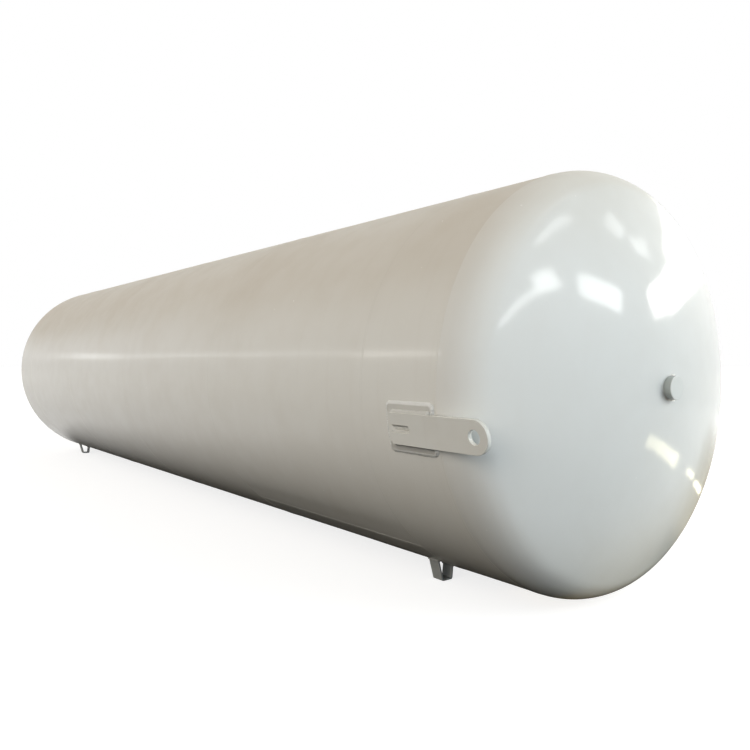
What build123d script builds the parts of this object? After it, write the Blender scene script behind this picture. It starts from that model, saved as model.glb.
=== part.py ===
from build123d import *
import os
from math import asin, atan2, cos, degrees, radians, sin, sqrt, tan

# A horizontal pressure tank: rolled courses between two dished heads, on four bent-strip feet,
# with a lifting lug on one flank at the end whose head carries the capped vent.
# Millimetres. +X runs along the tank to the vent end, +Z is up, and the origin is on the floor
# below the middle of the shell.

# Shell: four courses of full plate width, with a short one at each end
shell_diameter = 2500.0
shell_wall = 10.0
middle_course_length = 2000.0
middle_course_count = 4
end_course_length = 615.0
belly_clearance = 20.0

# Dished heads: a crown and a knuckle in one sweep, with a short straight flange
head_wall = 12.0
head_flange = 25.0
head_crown_radius = 2500.0
head_knuckle_radius = 250.0

# Weld caps over the girth seams
girth_weld_width = 16.0
girth_weld_height = 2.0

# Capped vent at the middle of one head
vent_neck_diameter = 108.0
vent_neck_wall = 6.0
vent_neck_height = 32.0
vent_cap_plate = 12.0
vent_cap_wall = 8.0
vent_cap_skirt = 24.0
vent_cap_clearance = 3.0
vent_cap_edge = 3.0
vent_screw_diameter = 10.0
vent_screw_head_flats = 17.0
vent_screw_head_height = 7.0
vent_screw_clearance = 0.3

# Lifting lug: a pad rolled to the shell and a flat plate whose eye reaches past the tangent line
lug_drop_angle = 9.3
lug_pad_length = 340.0
lug_pad_height = 244.0
lug_pad_thickness = 12.0
lug_pad_corner = 18.0
lug_pad_clearance = 23.0
lug_plate_width = 172.0
lug_plate_thickness = 24.0
lug_plate_edge = 2.0
lug_plate_lap = 350.0
lug_eye_reach = 256.0
lug_eye_diameter = 72.0
lug_slot_length = 150.0
lug_slot_width = 38.0
lug_weld_leg = 12.0

# Feet: a flat strip bent to an open U, its legs cut to the shell, each beside the seam of an end course
foot_offset = 455.0
foot_base = 87.0
foot_strip_width = 88.0
foot_strip_thickness = 12.0
foot_bend_radius = 15.0
foot_outer_splay = 16.0
foot_inner_splay = 6.0
foot_weld_gap = 120.0

# Worked out from the sizes above
shell_radius = shell_diameter / 2
axis_height = shell_radius + belly_clearance
course_lengths = [end_course_length, *[middle_course_length] * middle_course_count, end_course_length]
shell_half_length = sum(course_lengths) / 2
seams = [sum(course_lengths[:number]) - shell_half_length for number in range(len(course_lengths) + 1)]
tangent_x = shell_half_length + head_flange
knuckle_circle = shell_radius - head_knuckle_radius
crown_to_knuckle = head_crown_radius - head_knuckle_radius
crown_centre = -sqrt(crown_to_knuckle**2 - knuckle_circle**2)
crown_angle = degrees(atan2(knuckle_circle, -crown_centre))
head_depth = crown_centre + head_crown_radius
pad_face = shell_radius + lug_pad_thickness
pad_end_x = shell_half_length - girth_weld_width / 2 - lug_pad_clearance
tank_axis = Axis((0, 0, axis_height), (1, 0, 0))
lug_normal = Vector(0, -cos(radians(lug_drop_angle)), -sin(radians(lug_drop_angle)))
sides = {"front": -1, "back": 1}
ends = {"vent_end": 1, "plain_end": -1}


def cross_plane(x):
    """Plane across the tank at x: local x is +Y, local y is +Z, centred on the axis."""
    return Plane(origin=(x, 0, axis_height), x_dir=(0, 1, 0), z_dir=(1, 0, 0))


def head_plane(end):
    """Plane through the axis at a tangent line: local x points out of the tank, local y is +Z."""
    return Plane(origin=(end * tangent_x, 0, axis_height), x_dir=(end, 0, 0), z_dir=(0, -end, 0))


def save(builder, name):
    """Names a finished piece and writes it."""
    builder.part.label = name
    export_step(builder.part, f"parts/{name}.step")


os.makedirs("parts", exist_ok=True)

# Shell courses, from the plain end to the vent end
for number, course_length in enumerate(course_lengths):
    with BuildPart() as shell_course:
        with BuildSketch(cross_plane(seams[number])):
            Circle(shell_radius)
            Circle(shell_radius - shell_wall, mode=Mode.SUBTRACT)
        extrude(amount=course_length)
    save(shell_course, f"shell_course_{number + 1}")

# Girth weld caps, one over each seam between courses and heads
for number, seam_x in enumerate(seams):
    with BuildPart() as girth_weld:
        with BuildSketch(Plane(origin=(seam_x, 0, axis_height), x_dir=(1, 0, 0), z_dir=(0, -1, 0))):
            with BuildLine():
                toe = Line((-girth_weld_width / 2, shell_radius), (girth_weld_width / 2, shell_radius))
                ThreePointArc(toe @ 0, (0, shell_radius + girth_weld_height), toe @ 1)
            make_face()
        revolve(axis=tank_axis)
    save(girth_weld, f"girth_weld_{number + 1}")

# Dished heads: crown arc, knuckle arc and flange outside, and the same set in by the wall
vent_bore_radius = vent_neck_diameter / 2 - vent_neck_wall
for end_name, end in ends.items():
    with BuildPart() as head:
        with BuildSketch(head_plane(end)):
            with BuildLine():
                crown_out = CenterArc((crown_centre, 0), head_crown_radius, 0, crown_angle)
                crown_in = CenterArc((crown_centre, 0), head_crown_radius - head_wall, 0, crown_angle)
                for inset in (0, head_wall):
                    knuckle = CenterArc(
                        (0, knuckle_circle), head_knuckle_radius - inset, crown_angle, 90 - crown_angle
                    )
                    Line(knuckle @ 1, (-head_flange, shell_radius - inset))
                Line((-head_flange, shell_radius), (-head_flange, shell_radius - head_wall))
                Line(crown_in @ 0, crown_out @ 0)
            make_face()
        revolve(axis=tank_axis)
        if end_name == "vent_end":
            with BuildSketch(cross_plane(tangent_x)):
                Circle(vent_bore_radius)
            extrude(amount=head_depth, mode=Mode.SUBTRACT)
    save(head, f"{end_name}_head")

# Vent neck: a short pipe whose foot is shaped to the crown
vent_neck_radius = vent_neck_diameter / 2
rim_x = head_depth + vent_neck_height
with BuildPart() as vent_neck:
    with BuildSketch(head_plane(1)):
        with BuildLine():
            bore_angle = degrees(asin(vent_bore_radius / head_crown_radius))
            neck_angle = degrees(asin(vent_neck_radius / head_crown_radius))
            seat = CenterArc((crown_centre, 0), head_crown_radius, bore_angle, neck_angle - bore_angle)
            Polyline(seat @ 0, (rim_x, vent_bore_radius), (rim_x, vent_neck_radius), seat @ 1)
        make_face()
    revolve(axis=tank_axis)
save(vent_neck, "vent_neck")

# Vent cap: a lid with a skirt around the neck, seated on the neck's rim
vent_skirt_bore = vent_neck_radius + vent_cap_clearance
vent_cap_radius = vent_skirt_bore + vent_cap_wall
cap_face_x = rim_x + vent_cap_plate
screw_x = rim_x - vent_cap_skirt / 2
with BuildPart() as vent_cap:
    with BuildSketch(head_plane(1)) as cap_section:
        with BuildLine():
            Polyline(
                (rim_x, 0),
                (cap_face_x, 0),
                (cap_face_x, vent_cap_radius),
                (rim_x - vent_cap_skirt, vent_cap_radius),
                (rim_x - vent_cap_skirt, vent_skirt_bore),
                (rim_x, vent_skirt_bore),
                close=True,
            )
        make_face()
        fillet(cap_section.vertices().group_by(Axis.X)[-1].sort_by(Axis.Y)[-1], vent_cap_edge)
    revolve(axis=tank_axis)
    with BuildSketch(Plane(origin=(tangent_x + screw_x, 0, axis_height))):
        Circle(vent_screw_diameter / 2 + vent_screw_clearance)
    extrude(amount=vent_cap_radius + vent_screw_head_height, both=True, mode=Mode.SUBTRACT)
save(vent_cap, "vent_cap")

# Screws through the cap's skirt to the neck, one above and one below
for screw_name, up in {"upper": 1, "lower": -1}.items():
    screw_plane = Plane(origin=(tangent_x + screw_x, 0, axis_height), z_dir=(0, 0, up))
    with BuildPart() as vent_screw:
        with BuildSketch(screw_plane.offset(vent_neck_radius + vent_screw_clearance)):
            Circle(vent_screw_diameter / 2)
        extrude(amount=vent_cap_clearance + vent_cap_wall - vent_screw_clearance)
        with BuildSketch(screw_plane.offset(vent_cap_radius)):
            RegularPolygon(vent_screw_head_flats / 2, 6, major_radius=False)
        extrude(amount=vent_screw_head_height)
    save(vent_screw, f"vent_{screw_name}_screw")

# Lug pad: a plate rolled to the shell, with rounded corners
pad_arc = degrees(lug_pad_height / shell_radius)
pad_start_angle = degrees(atan2(lug_normal.Z, lug_normal.Y)) - pad_arc / 2
with BuildPart() as lug_pad:
    with BuildSketch(cross_plane(pad_end_x - lug_pad_length)):
        with BuildLine():
            back_arc = CenterArc((0, 0), shell_radius, pad_start_angle, pad_arc)
            face_arc = CenterArc((0, 0), pad_face, pad_start_angle, pad_arc)
            Line(back_arc @ 0, face_arc @ 0)
            Line(back_arc @ 1, face_arc @ 1)
        make_face()
    extrude(amount=lug_pad_length)
    fillet(lug_pad.edges().filter_by(GeomType.LINE).sort_by(SortBy.LENGTH)[:4], lug_pad_corner)
save(lug_pad, "lug_pad")

# Lug plate: flat on the pad, forked at one end by a weld slot, with the lifting eye at the other
plate_centre = Vector(tangent_x, 0, axis_height) + lug_normal * pad_face
plate_plane = Plane(origin=plate_centre, x_dir=(1, 0, 0), z_dir=lug_normal)
slot_straight = lug_slot_length - lug_slot_width / 2
with BuildPart() as lug_plate:
    with BuildSketch(plate_plane):
        with Locations((-lug_plate_lap, 0)):
            Rectangle(lug_plate_lap + lug_eye_reach, lug_plate_width, align=(Align.MIN, Align.CENTER))
            Rectangle(slot_straight, lug_slot_width, align=(Align.MIN, Align.CENTER), mode=Mode.SUBTRACT)
        with Locations((slot_straight - lug_plate_lap, 0)):
            Circle(lug_slot_width / 2, mode=Mode.SUBTRACT)
        with Locations((lug_eye_reach, 0)):
            Circle(lug_plate_width / 2)
            Circle(lug_eye_diameter / 2, mode=Mode.SUBTRACT)
    extrude(amount=lug_plate_thickness)
    plate_face = lug_plate.faces().sort_by(Axis(plate_centre, lug_normal))[-1]
    fillet(plate_face.outer_wire().edges(), lug_plate_edge)
save(lug_plate, "lug_plate")

# Lug welds: a fillet along each long edge of the plate, down to the pad's curve
weld_start_x = tangent_x - lug_plate_lap
with BuildPart() as lug_weld:
    with BuildSketch(Plane(origin=(weld_start_x, 0, axis_height), x_dir=lug_normal, z_dir=(1, 0, 0))):
        for edge in (1, -1):
            root = edge * lug_plate_width / 2
            Polygon(
                (pad_face + lug_weld_leg, root),
                (pad_face - lug_weld_leg, root),
                (pad_face - lug_weld_leg, root + edge * 2 * lug_weld_leg),
                align=None,
            )
        Circle(pad_face, mode=Mode.SUBTRACT)
    extrude(amount=pad_end_x - weld_start_x)
save(lug_weld, "lug_weld")

# Feet: the strip's outline as one bent line, thickened inwards, with its legs cut to the shell
foot_seams = {"vent_end": seams[-2], "plain_end": seams[1]}
outer_lean = tan(radians(foot_outer_splay)) * axis_height
inner_lean = tan(radians(foot_inner_splay)) * axis_height
for end_name, seam_x in foot_seams.items():
    foot_x = seam_x - girth_weld_width / 2 - foot_weld_gap - foot_strip_width / 2
    for side_name, side in sides.items():
        outer_y = side * (foot_offset + foot_base / 2)
        inner_y = side * (foot_offset - foot_base / 2)
        bends = [
            (outer_y + side * outer_lean, 0),
            (outer_y, -axis_height),
            (inner_y, -axis_height),
            (inner_y - side * inner_lean, 0),
        ]
        with BuildPart() as foot:
            with BuildSketch(cross_plane(foot_x)):
                with BuildLine():
                    FilletPolyline(*sorted(bends), radius=foot_bend_radius)
                    offset(amount=foot_strip_thickness, side=Side.LEFT)
                make_face()
                Circle(shell_radius, mode=Mode.SUBTRACT)
            extrude(amount=foot_strip_width / 2, both=True)
        save(foot, f"{end_name}_{side_name}_foot")
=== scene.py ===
"""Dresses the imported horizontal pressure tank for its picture.

The frame is the tank's own, in metres: +X runs to the head with the capped vent, -Y is the flank with
the lifting lug, +Z is up and the floor is at zero. Angles round the tank's axis start at the front
flank and grow upwards, so the top is at a quarter turn.
"""

import logging
from collections.abc import Callable
from dataclasses import dataclass, replace
from enum import Enum
from math import atan2, cos, pi, radians, sin, sqrt, tan

import bpy
import numpy as np
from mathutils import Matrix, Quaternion, Vector
from mathutils.geometry import delaunay_2d_cdt


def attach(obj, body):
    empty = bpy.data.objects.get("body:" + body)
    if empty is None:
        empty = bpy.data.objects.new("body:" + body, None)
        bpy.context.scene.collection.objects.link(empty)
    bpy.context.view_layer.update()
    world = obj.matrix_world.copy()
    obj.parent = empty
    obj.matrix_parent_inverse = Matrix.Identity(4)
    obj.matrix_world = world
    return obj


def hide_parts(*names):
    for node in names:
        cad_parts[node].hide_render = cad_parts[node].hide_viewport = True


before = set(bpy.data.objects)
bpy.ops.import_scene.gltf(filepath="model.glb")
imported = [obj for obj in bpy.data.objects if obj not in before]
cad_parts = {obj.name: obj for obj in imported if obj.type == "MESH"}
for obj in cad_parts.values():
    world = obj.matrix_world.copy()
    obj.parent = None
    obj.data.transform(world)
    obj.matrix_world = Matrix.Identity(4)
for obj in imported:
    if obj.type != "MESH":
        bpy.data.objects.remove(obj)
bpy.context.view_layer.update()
LOG = logging.getLogger("tank")
BODY = "root"
# Name of the per-point crevice depth, by which paints darken with dirt and painted shade
DIRT_AND_SHADE = "grime"
STEPS_PER_RIPPLE = 4
CORNER_POINTS = 12

# Asks a triangulation for what lies inside its rings
INSIDE_RINGS = 1

Array = np.ndarray
Colour = tuple[float, float, float]
Point = tuple[float, float, float]
Pair = tuple[float, float]
Socket = bpy.types.NodeSocket
Place = Callable[[Array, Array, Array], Array]
Ground = Callable[[Array, Array], Array]


class Slot(Enum):
    """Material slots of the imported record."""

    SHELL = "shell_paint"
    LUG = "lug_paint"
    FOOT = "foot_paint"
    VENT = "vent_paint"
    SCREW = "screw_steel"


class End(Enum):
    """The tank's two ends, as directions along X."""

    VENT = 1
    PLAIN = -1


class Side(Enum):
    """The tank's two flanks, as directions along Y."""

    FRONT = -1
    BACK = 1


def quad_grid(rows: int, columns: int, start: int = 0) -> tuple[Array, Array]:
    """Numbers a grid's points row by row and joins them to quads.

    Point (i, j) makes a quad with (i, j + 1), (i + 1, j + 1) and (i + 1, j), where i and j wrap round.

    Args:
        rows: Number of rows.
        columns: Points in a row.
        start: Number of the first point.

    Returns:
        The points' numbers, and the quad of each.
    """
    index = start + np.arange(rows * columns).reshape(rows, columns)
    beside = np.roll(index, -1, axis=1)
    quads = np.stack([index, beside, np.roll(beside, -1, axis=0), np.roll(index, -1, axis=0)], axis=-1)
    return index, quads


@dataclass
class Surface:
    """A closed surface as whole arrays.

    Attributes:
        points: Corner points, one row each.
        faces: Index arrays, one row per face, with triangles and quads in arrays of their own.
        grime: How deep each point lies in a crevice, from 0 to 1, or None; the paint darkens it there with
            dirt and painted shade.
    """

    points: Array
    faces: list[Array]
    grime: Array | None = None

    @classmethod
    def lofted(cls, rings: Array, joined: bool = False, grime: Array | None = None) -> "Surface":
        """Skins a grid of rings, each closed on itself.

        Args:
            rings: Points as rows, columns and coordinates.
            joined: Whether the last ring meets the first; otherwise a fan about its mean closes each end.
            grime: Crevice depth of each grid point, darkened with dirt and painted shade.

        Returns:
            The closed surface.
        """
        rows, columns = rings.shape[:2]
        index, quads = quad_grid(rows, columns)
        points = rings.reshape(-1, 3)
        depth = None if grime is None else grime.ravel()
        if joined:
            return cls(points, [quads.reshape(-1, 4)], depth)
        beside = quads[..., 1]
        first_hub = np.full(columns, rows * columns)
        first_fan = np.stack([first_hub, beside[0], index[0]], axis=-1)
        last_fan = np.stack([first_hub + 1, index[-1], beside[-1]], axis=-1)
        points = np.concatenate([points, rings[[0, -1]].mean(axis=1)])
        if depth is not None:
            depth = np.concatenate([depth, grime[[0, -1]].mean(axis=1)])
        return cls(points, [quads[:-1].reshape(-1, 4), first_fan, last_fan], depth)

    @classmethod
    def merged(cls, parts: list["Surface"]) -> "Surface":
        """Puts several closed surfaces into one, each turned outwards first.

        Args:
            parts: Surfaces that all have crevice depths for dirt and painted shade.

        Returns:
            One surface with the points and faces of them all.
        """
        turned = [part.outward() for part in parts]
        starts = np.cumsum([0] + [len(part.points) for part in turned])
        faces = [block + start for part, start in zip(turned, starts) for block in part.faces]
        points = np.concatenate([part.points for part in turned])
        return cls(points, faces, np.concatenate([part.grime for part in turned]))

    def outward(self) -> "Surface":
        """Turns every face round if the surface is inside out.

        It is if the sum of a . (b x c) over all triangles, which is six times the volume, is negative.

        Returns:
            The surface itself.
        """
        volume = 0.0
        for block in self.faces:
            apex = self.points[block[:, 0]]
            for corner in range(1, block.shape[1] - 1):
                second = self.points[block[:, corner]]
                third = self.points[block[:, corner + 1]]
                volume += float(np.einsum("ij,ij->", apex, np.cross(second, third)))
        if volume < 0:
            self.faces = [block[:, ::-1] for block in self.faces]
        return self


def add_piece(
    name: str,
    surface: Surface,
    material: bpy.types.Material,
    nodes: list[str],
    crease: float = 40.0,
) -> None:
    """Puts a surface into the scene as one named piece that rides on the tank.

    Args:
        name: The piece's name.
        surface: Its closed surface, in the tank's frame.
        material: Its finish.
        nodes: The solids that the piece stands for, if any.
        crease: Edges that turn by more than this many degrees stay sharp.
    """
    surface.outward()
    corners = np.concatenate([block.ravel() for block in surface.faces]).astype(np.int32)
    counts = np.concatenate([np.full(len(block), block.shape[1]) for block in surface.faces])
    starts = (np.cumsum(counts) - counts).astype(np.int32)
    mesh = bpy.data.meshes.new(name)
    mesh.vertices.add(len(surface.points))
    mesh.vertices.foreach_set("co", surface.points.astype(np.float32).ravel())
    mesh.loops.add(len(corners))
    mesh.loops.foreach_set("vertex_index", corners)
    mesh.polygons.add(len(starts))
    mesh.polygons.foreach_set("loop_start", starts)
    mesh.polygons.foreach_set("use_smooth", np.ones(len(starts), dtype=bool))
    # Crevice depth, for dirt and painted shade in the paint
    depth = np.zeros(len(surface.points)) if surface.grime is None else surface.grime
    layer = mesh.attributes.new(DIRT_AND_SHADE, "FLOAT", "POINT")
    layer.data.foreach_set("value", depth.astype(np.float32))
    mesh.update(calc_edges=True)
    mesh.set_sharp_from_angle(angle=radians(crease))
    mesh.materials.append(material)
    piece = bpy.data.objects.new(name, mesh)
    bpy.context.scene.collection.objects.link(piece)
    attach(piece, BODY)
    if nodes:
        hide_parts(*nodes)
    LOG.info("%s: %d points, %d faces", name, len(surface.points), len(starts))


@dataclass(frozen=True)
class Waviness:
    """A seeded sum of cosines, divided by the root of their number.

    Each of them is cos(turns * angle + rate * along + phase).

    Attributes:
        seed: Seed of the draws.
        count: Number of cosines.
        most_turns: Most waves in a full turn.
        shortest: Shortest wave along the length, in metres.
    """

    seed: int
    count: int
    most_turns: int
    shortest: float = 1.0

    def at(self, angle: Array, along: Array | float) -> Array:
        """Gives the sum at angles round a closed path and lengths along it.

        Args:
            angle: Angles in radians; the sum repeats after a full turn.
            along: Lengths in metres.

        Returns:
            Values that mostly lie between -2 and 2.
        """
        draw = np.random.default_rng(self.seed)
        turns = draw.integers(-self.most_turns, self.most_turns + 1, self.count)
        rates = draw.uniform(-2 * pi, 2 * pi, self.count) / self.shortest
        phases = draw.uniform(0, 2 * pi, self.count)
        total = np.zeros(np.broadcast(angle, along).shape)
        for turn, rate, phase in zip(turns, rates, phases):
            total = total + np.cos(turn * angle + rate * along + phase)
        return total / sqrt(self.count)

    def around(self, angle: Array) -> Array:
        """The sum round a closed path alone."""
        return self.at(angle, 0.0)

    def lengthwise(self, along: Array) -> Array:
        """The sum along a length alone."""
        return self.at(np.zeros_like(along), along)

    def share(self, gain: float, angle: Array, along: Array | float = 0.0) -> Array:
        """One half plus a gain times the sum, held between 0 and 1."""
        return np.clip(0.5 + gain * self.at(angle, along), 0.0, 1.0)


def full_turn(count: int) -> Array:
    """Evenly spaced angles round a full turn, without the last one."""
    return np.arange(count) * (2 * pi / count)


def ease(value: Array, low: float = 0.0) -> Array:
    """Smooth step from low to 1: low + (1 - low) (3 t t - 2 t t t) with t held between 0 and 1."""
    held = np.clip(value, 0.0, 1.0)
    return low + (1.0 - low) * held * held * (3.0 - 2.0 * held)


def bell(value: Array, middle: float, spread: float) -> Array:
    """Bell curve: e to the power of minus ((value - middle) / spread) squared."""
    return np.exp(-(((value - middle) / spread) ** 2))


def arc(centre: Pair, radius: float, start: float, stop: float, count: int) -> Array:
    """Points on an arc: centre + radius (cos a, sin a), with a from start to stop.

    Args:
        centre: The arc's centre.
        radius: Its radius.
        start: First angle in degrees.
        stop: Last angle in degrees.
        count: Number of points.

    Returns:
        One point per row.
    """
    angle = np.radians(np.linspace(start, stop, count))
    return np.stack([centre[0] + radius * np.cos(angle), centre[1] + radius * np.sin(angle)], axis=-1)


def run_along(path: Array) -> Array:
    """Length run along a path at each of its points: the sum of the steps before it."""
    return np.concatenate([[0.0], np.cumsum(np.linalg.norm(np.diff(path, axis=0), axis=1))])


def evenly(path: Array, step: float, closed: bool) -> Array:
    """Spaces points evenly along a path, by interpolating its coordinates over the length run so far.

    Args:
        path: Points, one per row.
        step: About how far apart the new points are.
        closed: Whether the path returns to its first point, which is then not repeated.

    Returns:
        The new points, one per row.
    """
    line = np.concatenate([path, path[:1]]) if closed else path
    run = run_along(line)
    places = np.linspace(0.0, run[-1], max(round(run[-1] / step), 3) + 1)
    if closed:
        places = places[:-1]
    return np.stack([np.interp(places, run, line[:, axis]) for axis in range(2)], axis=-1)


def outward_normals(path: Array, closed: bool) -> Array:
    """Unit normals to the right of a path's direction, from the points before and after each one.

    Args:
        path: Points, one per row.
        closed: Whether the path is a loop.

    Returns:
        One normal per row.
    """
    if closed:
        heading = np.roll(path, -1, axis=0) - np.roll(path, 1, axis=0)
    else:
        heading = np.gradient(path, axis=0)
    heading = heading / np.linalg.norm(heading, axis=1, keepdims=True)
    return np.stack([heading[:, 1], -heading[:, 0]], axis=-1)


def rounded_rectangle(half_length: float, half_height: float, corner: float, step: float) -> Array:
    """Outline of a rectangle with round corners, counter-clockwise so that its outward side is on the right.

    Args:
        half_length: Half the size along the first axis.
        half_height: Half the size along the second axis.
        corner: Corner radius.
        step: Spacing of the points.

    Returns:
        One point per row, centred on zero.
    """
    reach, rise = half_length - corner, half_height - corner
    corners = [(reach, rise, 0), (-reach, rise, 90), (-reach, -rise, 180), (reach, -rise, 270)]
    arcs = [arc((x, s), corner, start, start + 90, CORNER_POINTS) for x, s, start in corners]
    return evenly(np.concatenate(arcs), step, closed=True)


def level_ground(along: Array, across: Array) -> Array:
    """The surface below a weld where the placing already follows it: zero everywhere."""
    return np.zeros(np.broadcast(along, across).shape)


@dataclass(frozen=True)
class Axis:
    """The tank's axis and outer radius, with the two ways in which pieces are placed round it."""

    height: float = 1.270
    radius: float = 1.250

    def ring(self, x: Array, r: Array, angle: Array) -> Array:
        """Points at (x, -r cos a, height + r sin a)."""
        x, r, angle = np.broadcast_arrays(x, r, angle)
        return np.stack([x, -r * np.cos(angle), self.height + r * np.sin(angle)], axis=-1)

    def wrapped(self, x: Array, run: Array, rise: Array, angle: float) -> Array:
        """Points rolled round the shell: at angle + run / radius and radius + rise."""
        return self.ring(x, self.radius + rise, angle + run / self.radius)


AXIS = Axis()


@dataclass(frozen=True)
class Bead:
    """A hand-laid fillet weld in the corner between a plate's edge and the surface below it.

    Attributes:
        leg: How far the fillet runs out over the surface below.
        climb: How far it goes up the plate's edge.
        pitch: Length of one ripple.
        bulge: How far the face swells, as a share of the leg.
        lump: How much the legs vary, as a share of the leg.
        seed: Seed of that variation.
        columns: Points over the face.
        lump_step: About the length of the shortest lump.
        drift_step: About the shortest stretch in which ripples crowd or spread.
        drift: How far they do so, in radians.
        drift_seed: What the seed gains for it.
        lag: How far a ripple's toes trail its middle, in radians.
        ripple: How much a ripple varies the legs, as a share.
        swell_ripple: How much it varies the swelling, as a share.
        end_size: Size of an open bead's ends, as a share.
        end_lump: How much thicker the bead is near them, as a share.
        end_lump_legs: How many legs from the end that is.
        tuck: How far the upper toe goes into the plate.
        root: How far the hidden corners go into the plate, as a share of the climb.
        toe: How near the other hidden corners come to the toes, as a share.
        sink: How far the hidden corners go below the surface, as shares of the climb.
        toe_dirt_and_shade: Dirt and painted shade at the lower toe, where the upper one has 1.
        darkening_fall: Power by which the dirt and painted shade fall off from the toes.
        dirt_and_shade_level: Mean share of the dirt and painted shade along the bead.
    """

    leg: float
    climb: float
    pitch: float = 0.011
    bulge: float = 0.20
    lump: float = 0.13
    seed: int = 1
    columns: int = 8
    lump_step: float = 0.05
    drift_step: float = 0.09
    drift: float = 0.9
    drift_seed: int = 50
    lag: float = 2.2
    ripple: float = 0.05
    swell_ripple: float = 0.35
    end_size: float = 0.55
    end_lump: float = 0.35
    end_lump_legs: float = 1.4
    tuck: float = 0.0004
    root: float = 0.22
    toe: float = 0.8
    sink: Pair = (0.15, 0.20)
    toe_dirt_and_shade: float = 0.25
    darkening_fall: int = 8
    dirt_and_shade_level: float = 0.75

    def surface(self, path: Array, place: Place, ground: Ground, closed: bool) -> Surface:
        """Carries the fillet's section along a path.

        The face runs from a toe on the surface below, out = leg, to a toe up the plate, rise = climb, on
        the line between them swelled by 4 t (1 - t) times the bulge. A ripple whose toes trail, and slow
        waves, scale both. Three buried points close the section.

        Args:
            path: Line of the plate's edge, with its outward side on the right.
            place: Puts along, across and rise into the tank's frame.
            ground: Rise of the surface below at along and across.
            closed: Whether the path is a loop.

        Returns:
            The bead's surface.
        """
        normals = outward_normals(path, closed)
        if closed:
            run = np.cumsum(np.linalg.norm(path - np.roll(path, 1, axis=0), axis=1))
        else:
            run = run_along(path)
        total = float(run[-1])
        turn = 2 * pi * run / total
        lumps = max(int(total / self.lump_step), 3)
        crowds = max(int(total / self.drift_step), 2)
        slow = Waviness(self.seed, count=9, most_turns=lumps).around(turn)
        drift = Waviness(self.seed + self.drift_seed, count=5, most_turns=crowds).around(turn)
        t = np.linspace(0.0, 1.0, self.columns)
        ripples = max(round(total / self.pitch), 4)
        phase = ripples * turn[:, None] + self.drift * drift[:, None]
        wave = np.cos(phase - self.lag * np.sin(pi * t))
        size = 1.0 + self.lump * 0.5 * slow
        if not closed:
            ends = np.minimum(run, total - run) / self.leg
            thicker = 1.0 + self.end_lump * bell(ends, self.end_lump_legs, 1.0)
            size = size * ease(ends, self.end_size) * thicker
        share = size[:, None] * (1.0 + self.ripple * wave)
        swell = self.bulge * 4.0 * t * (1.0 - t) * (1.0 + self.swell_ripple * wave) / sqrt(2.0)
        out = self.leg * share * (1.0 - t + swell)
        rise = self.climb * share * (t + swell)
        out[:, -1] -= self.tuck
        buried_out = [-self.root * self.climb, -self.root * self.climb, self.toe * self.leg]
        buried_rise = [self.toe * self.climb, -self.sink[0] * self.climb, -self.sink[1] * self.climb]
        out = np.concatenate([out, np.tile(buried_out, (len(path), 1))], axis=1)
        lift = np.concatenate([rise, np.tile(buried_rise, (len(path), 1))], axis=1)
        along = path[:, :1] + out * normals[:, :1]
        across = path[:, 1:] + out * normals[:, 1:]
        fade = np.concatenate([1.0 - t, [0.0, 1.0, 1.0]])
        points = place(along, across, lift + ground(along, across) * fade)
        # Dirt and painted shade in the crevices at the toes, strongest at the upper one
        toes = np.concatenate([t**self.darkening_fall + self.toe_dirt_and_shade * (1.0 - t) ** self.darkening_fall, np.ones(3)])
        level = self.dirt_and_shade_level + (1.0 - self.dirt_and_shade_level) * np.clip(slow, -1, 1)
        return Surface.lofted(points, closed, np.broadcast_to(toes, out.shape) * level[:, None])


@dataclass(frozen=True)
class ButtWeld:
    """A rippled weld cap over the seam between two plates.

    Attributes:
        width: Width over the toes.
        height: Height that the cap keeps below.
        ripple: Length of one ripple.
        level: Mean height at the middle, as a share.
        wave: How much the ripple varies the height, as a share.
        slow: How much slow waves vary height and width, as a share.
        spread: Mean width, as a share.
        sink: How far the cap is let into the plate.
        columns: Points over the cap.
        toe: Place of the buried points across the seam, as a share of half the width.
        drift: How far slow waves shift the ripple, in radians.
        lag: How far a ripple's toes trail its middle, in radians.
        limit: Largest slow wave.
        darkening_fall: Power by which the darkening falls off from the toes.
    """

    width: float
    height: float
    ripple: float
    level: float
    wave: float
    slow: float
    spread: float
    sink: float
    columns: int = 7
    toe: float = 0.9
    drift: float = 0.8
    lag: float = 1.5
    limit: float = 1.5
    darkening_fall: int = 6

    def section(self, phase: Array, slow: Array) -> tuple[Array, Array, Array]:
        """The cap's section at each step along the seam, closed below by two buried points.

        The rise is height (1 - u u) squared, varied by slow waves and by a ripple that lags by u u.

        Args:
            phase: The ripple's angle at each step, as a column.
            slow: Slow waves at each step, as a column.

        Returns:
            Places across the seam, rises above the plate, and dirt, with one row per step.
        """
        cap = np.linspace(-1.0, 1.0, self.columns)
        across = np.concatenate([cap, [self.toe, -self.toe]])
        swell = np.concatenate([(1.0 - cap**2) ** 2, np.zeros(2)])
        buried = np.concatenate([np.zeros(self.columns), np.ones(2)]) * self.height
        held = self.slow * np.clip(slow, -self.limit, self.limit)
        wave = np.cos(phase + self.drift * slow + self.lag * across**2)
        rise = self.height * swell * (self.level + held + self.wave * wave)
        darkening = np.broadcast_to(across**self.darkening_fall, rise.shape)
        return across * self.width / 2 * (self.spread + held), rise - buried - self.sink, darkening


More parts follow.
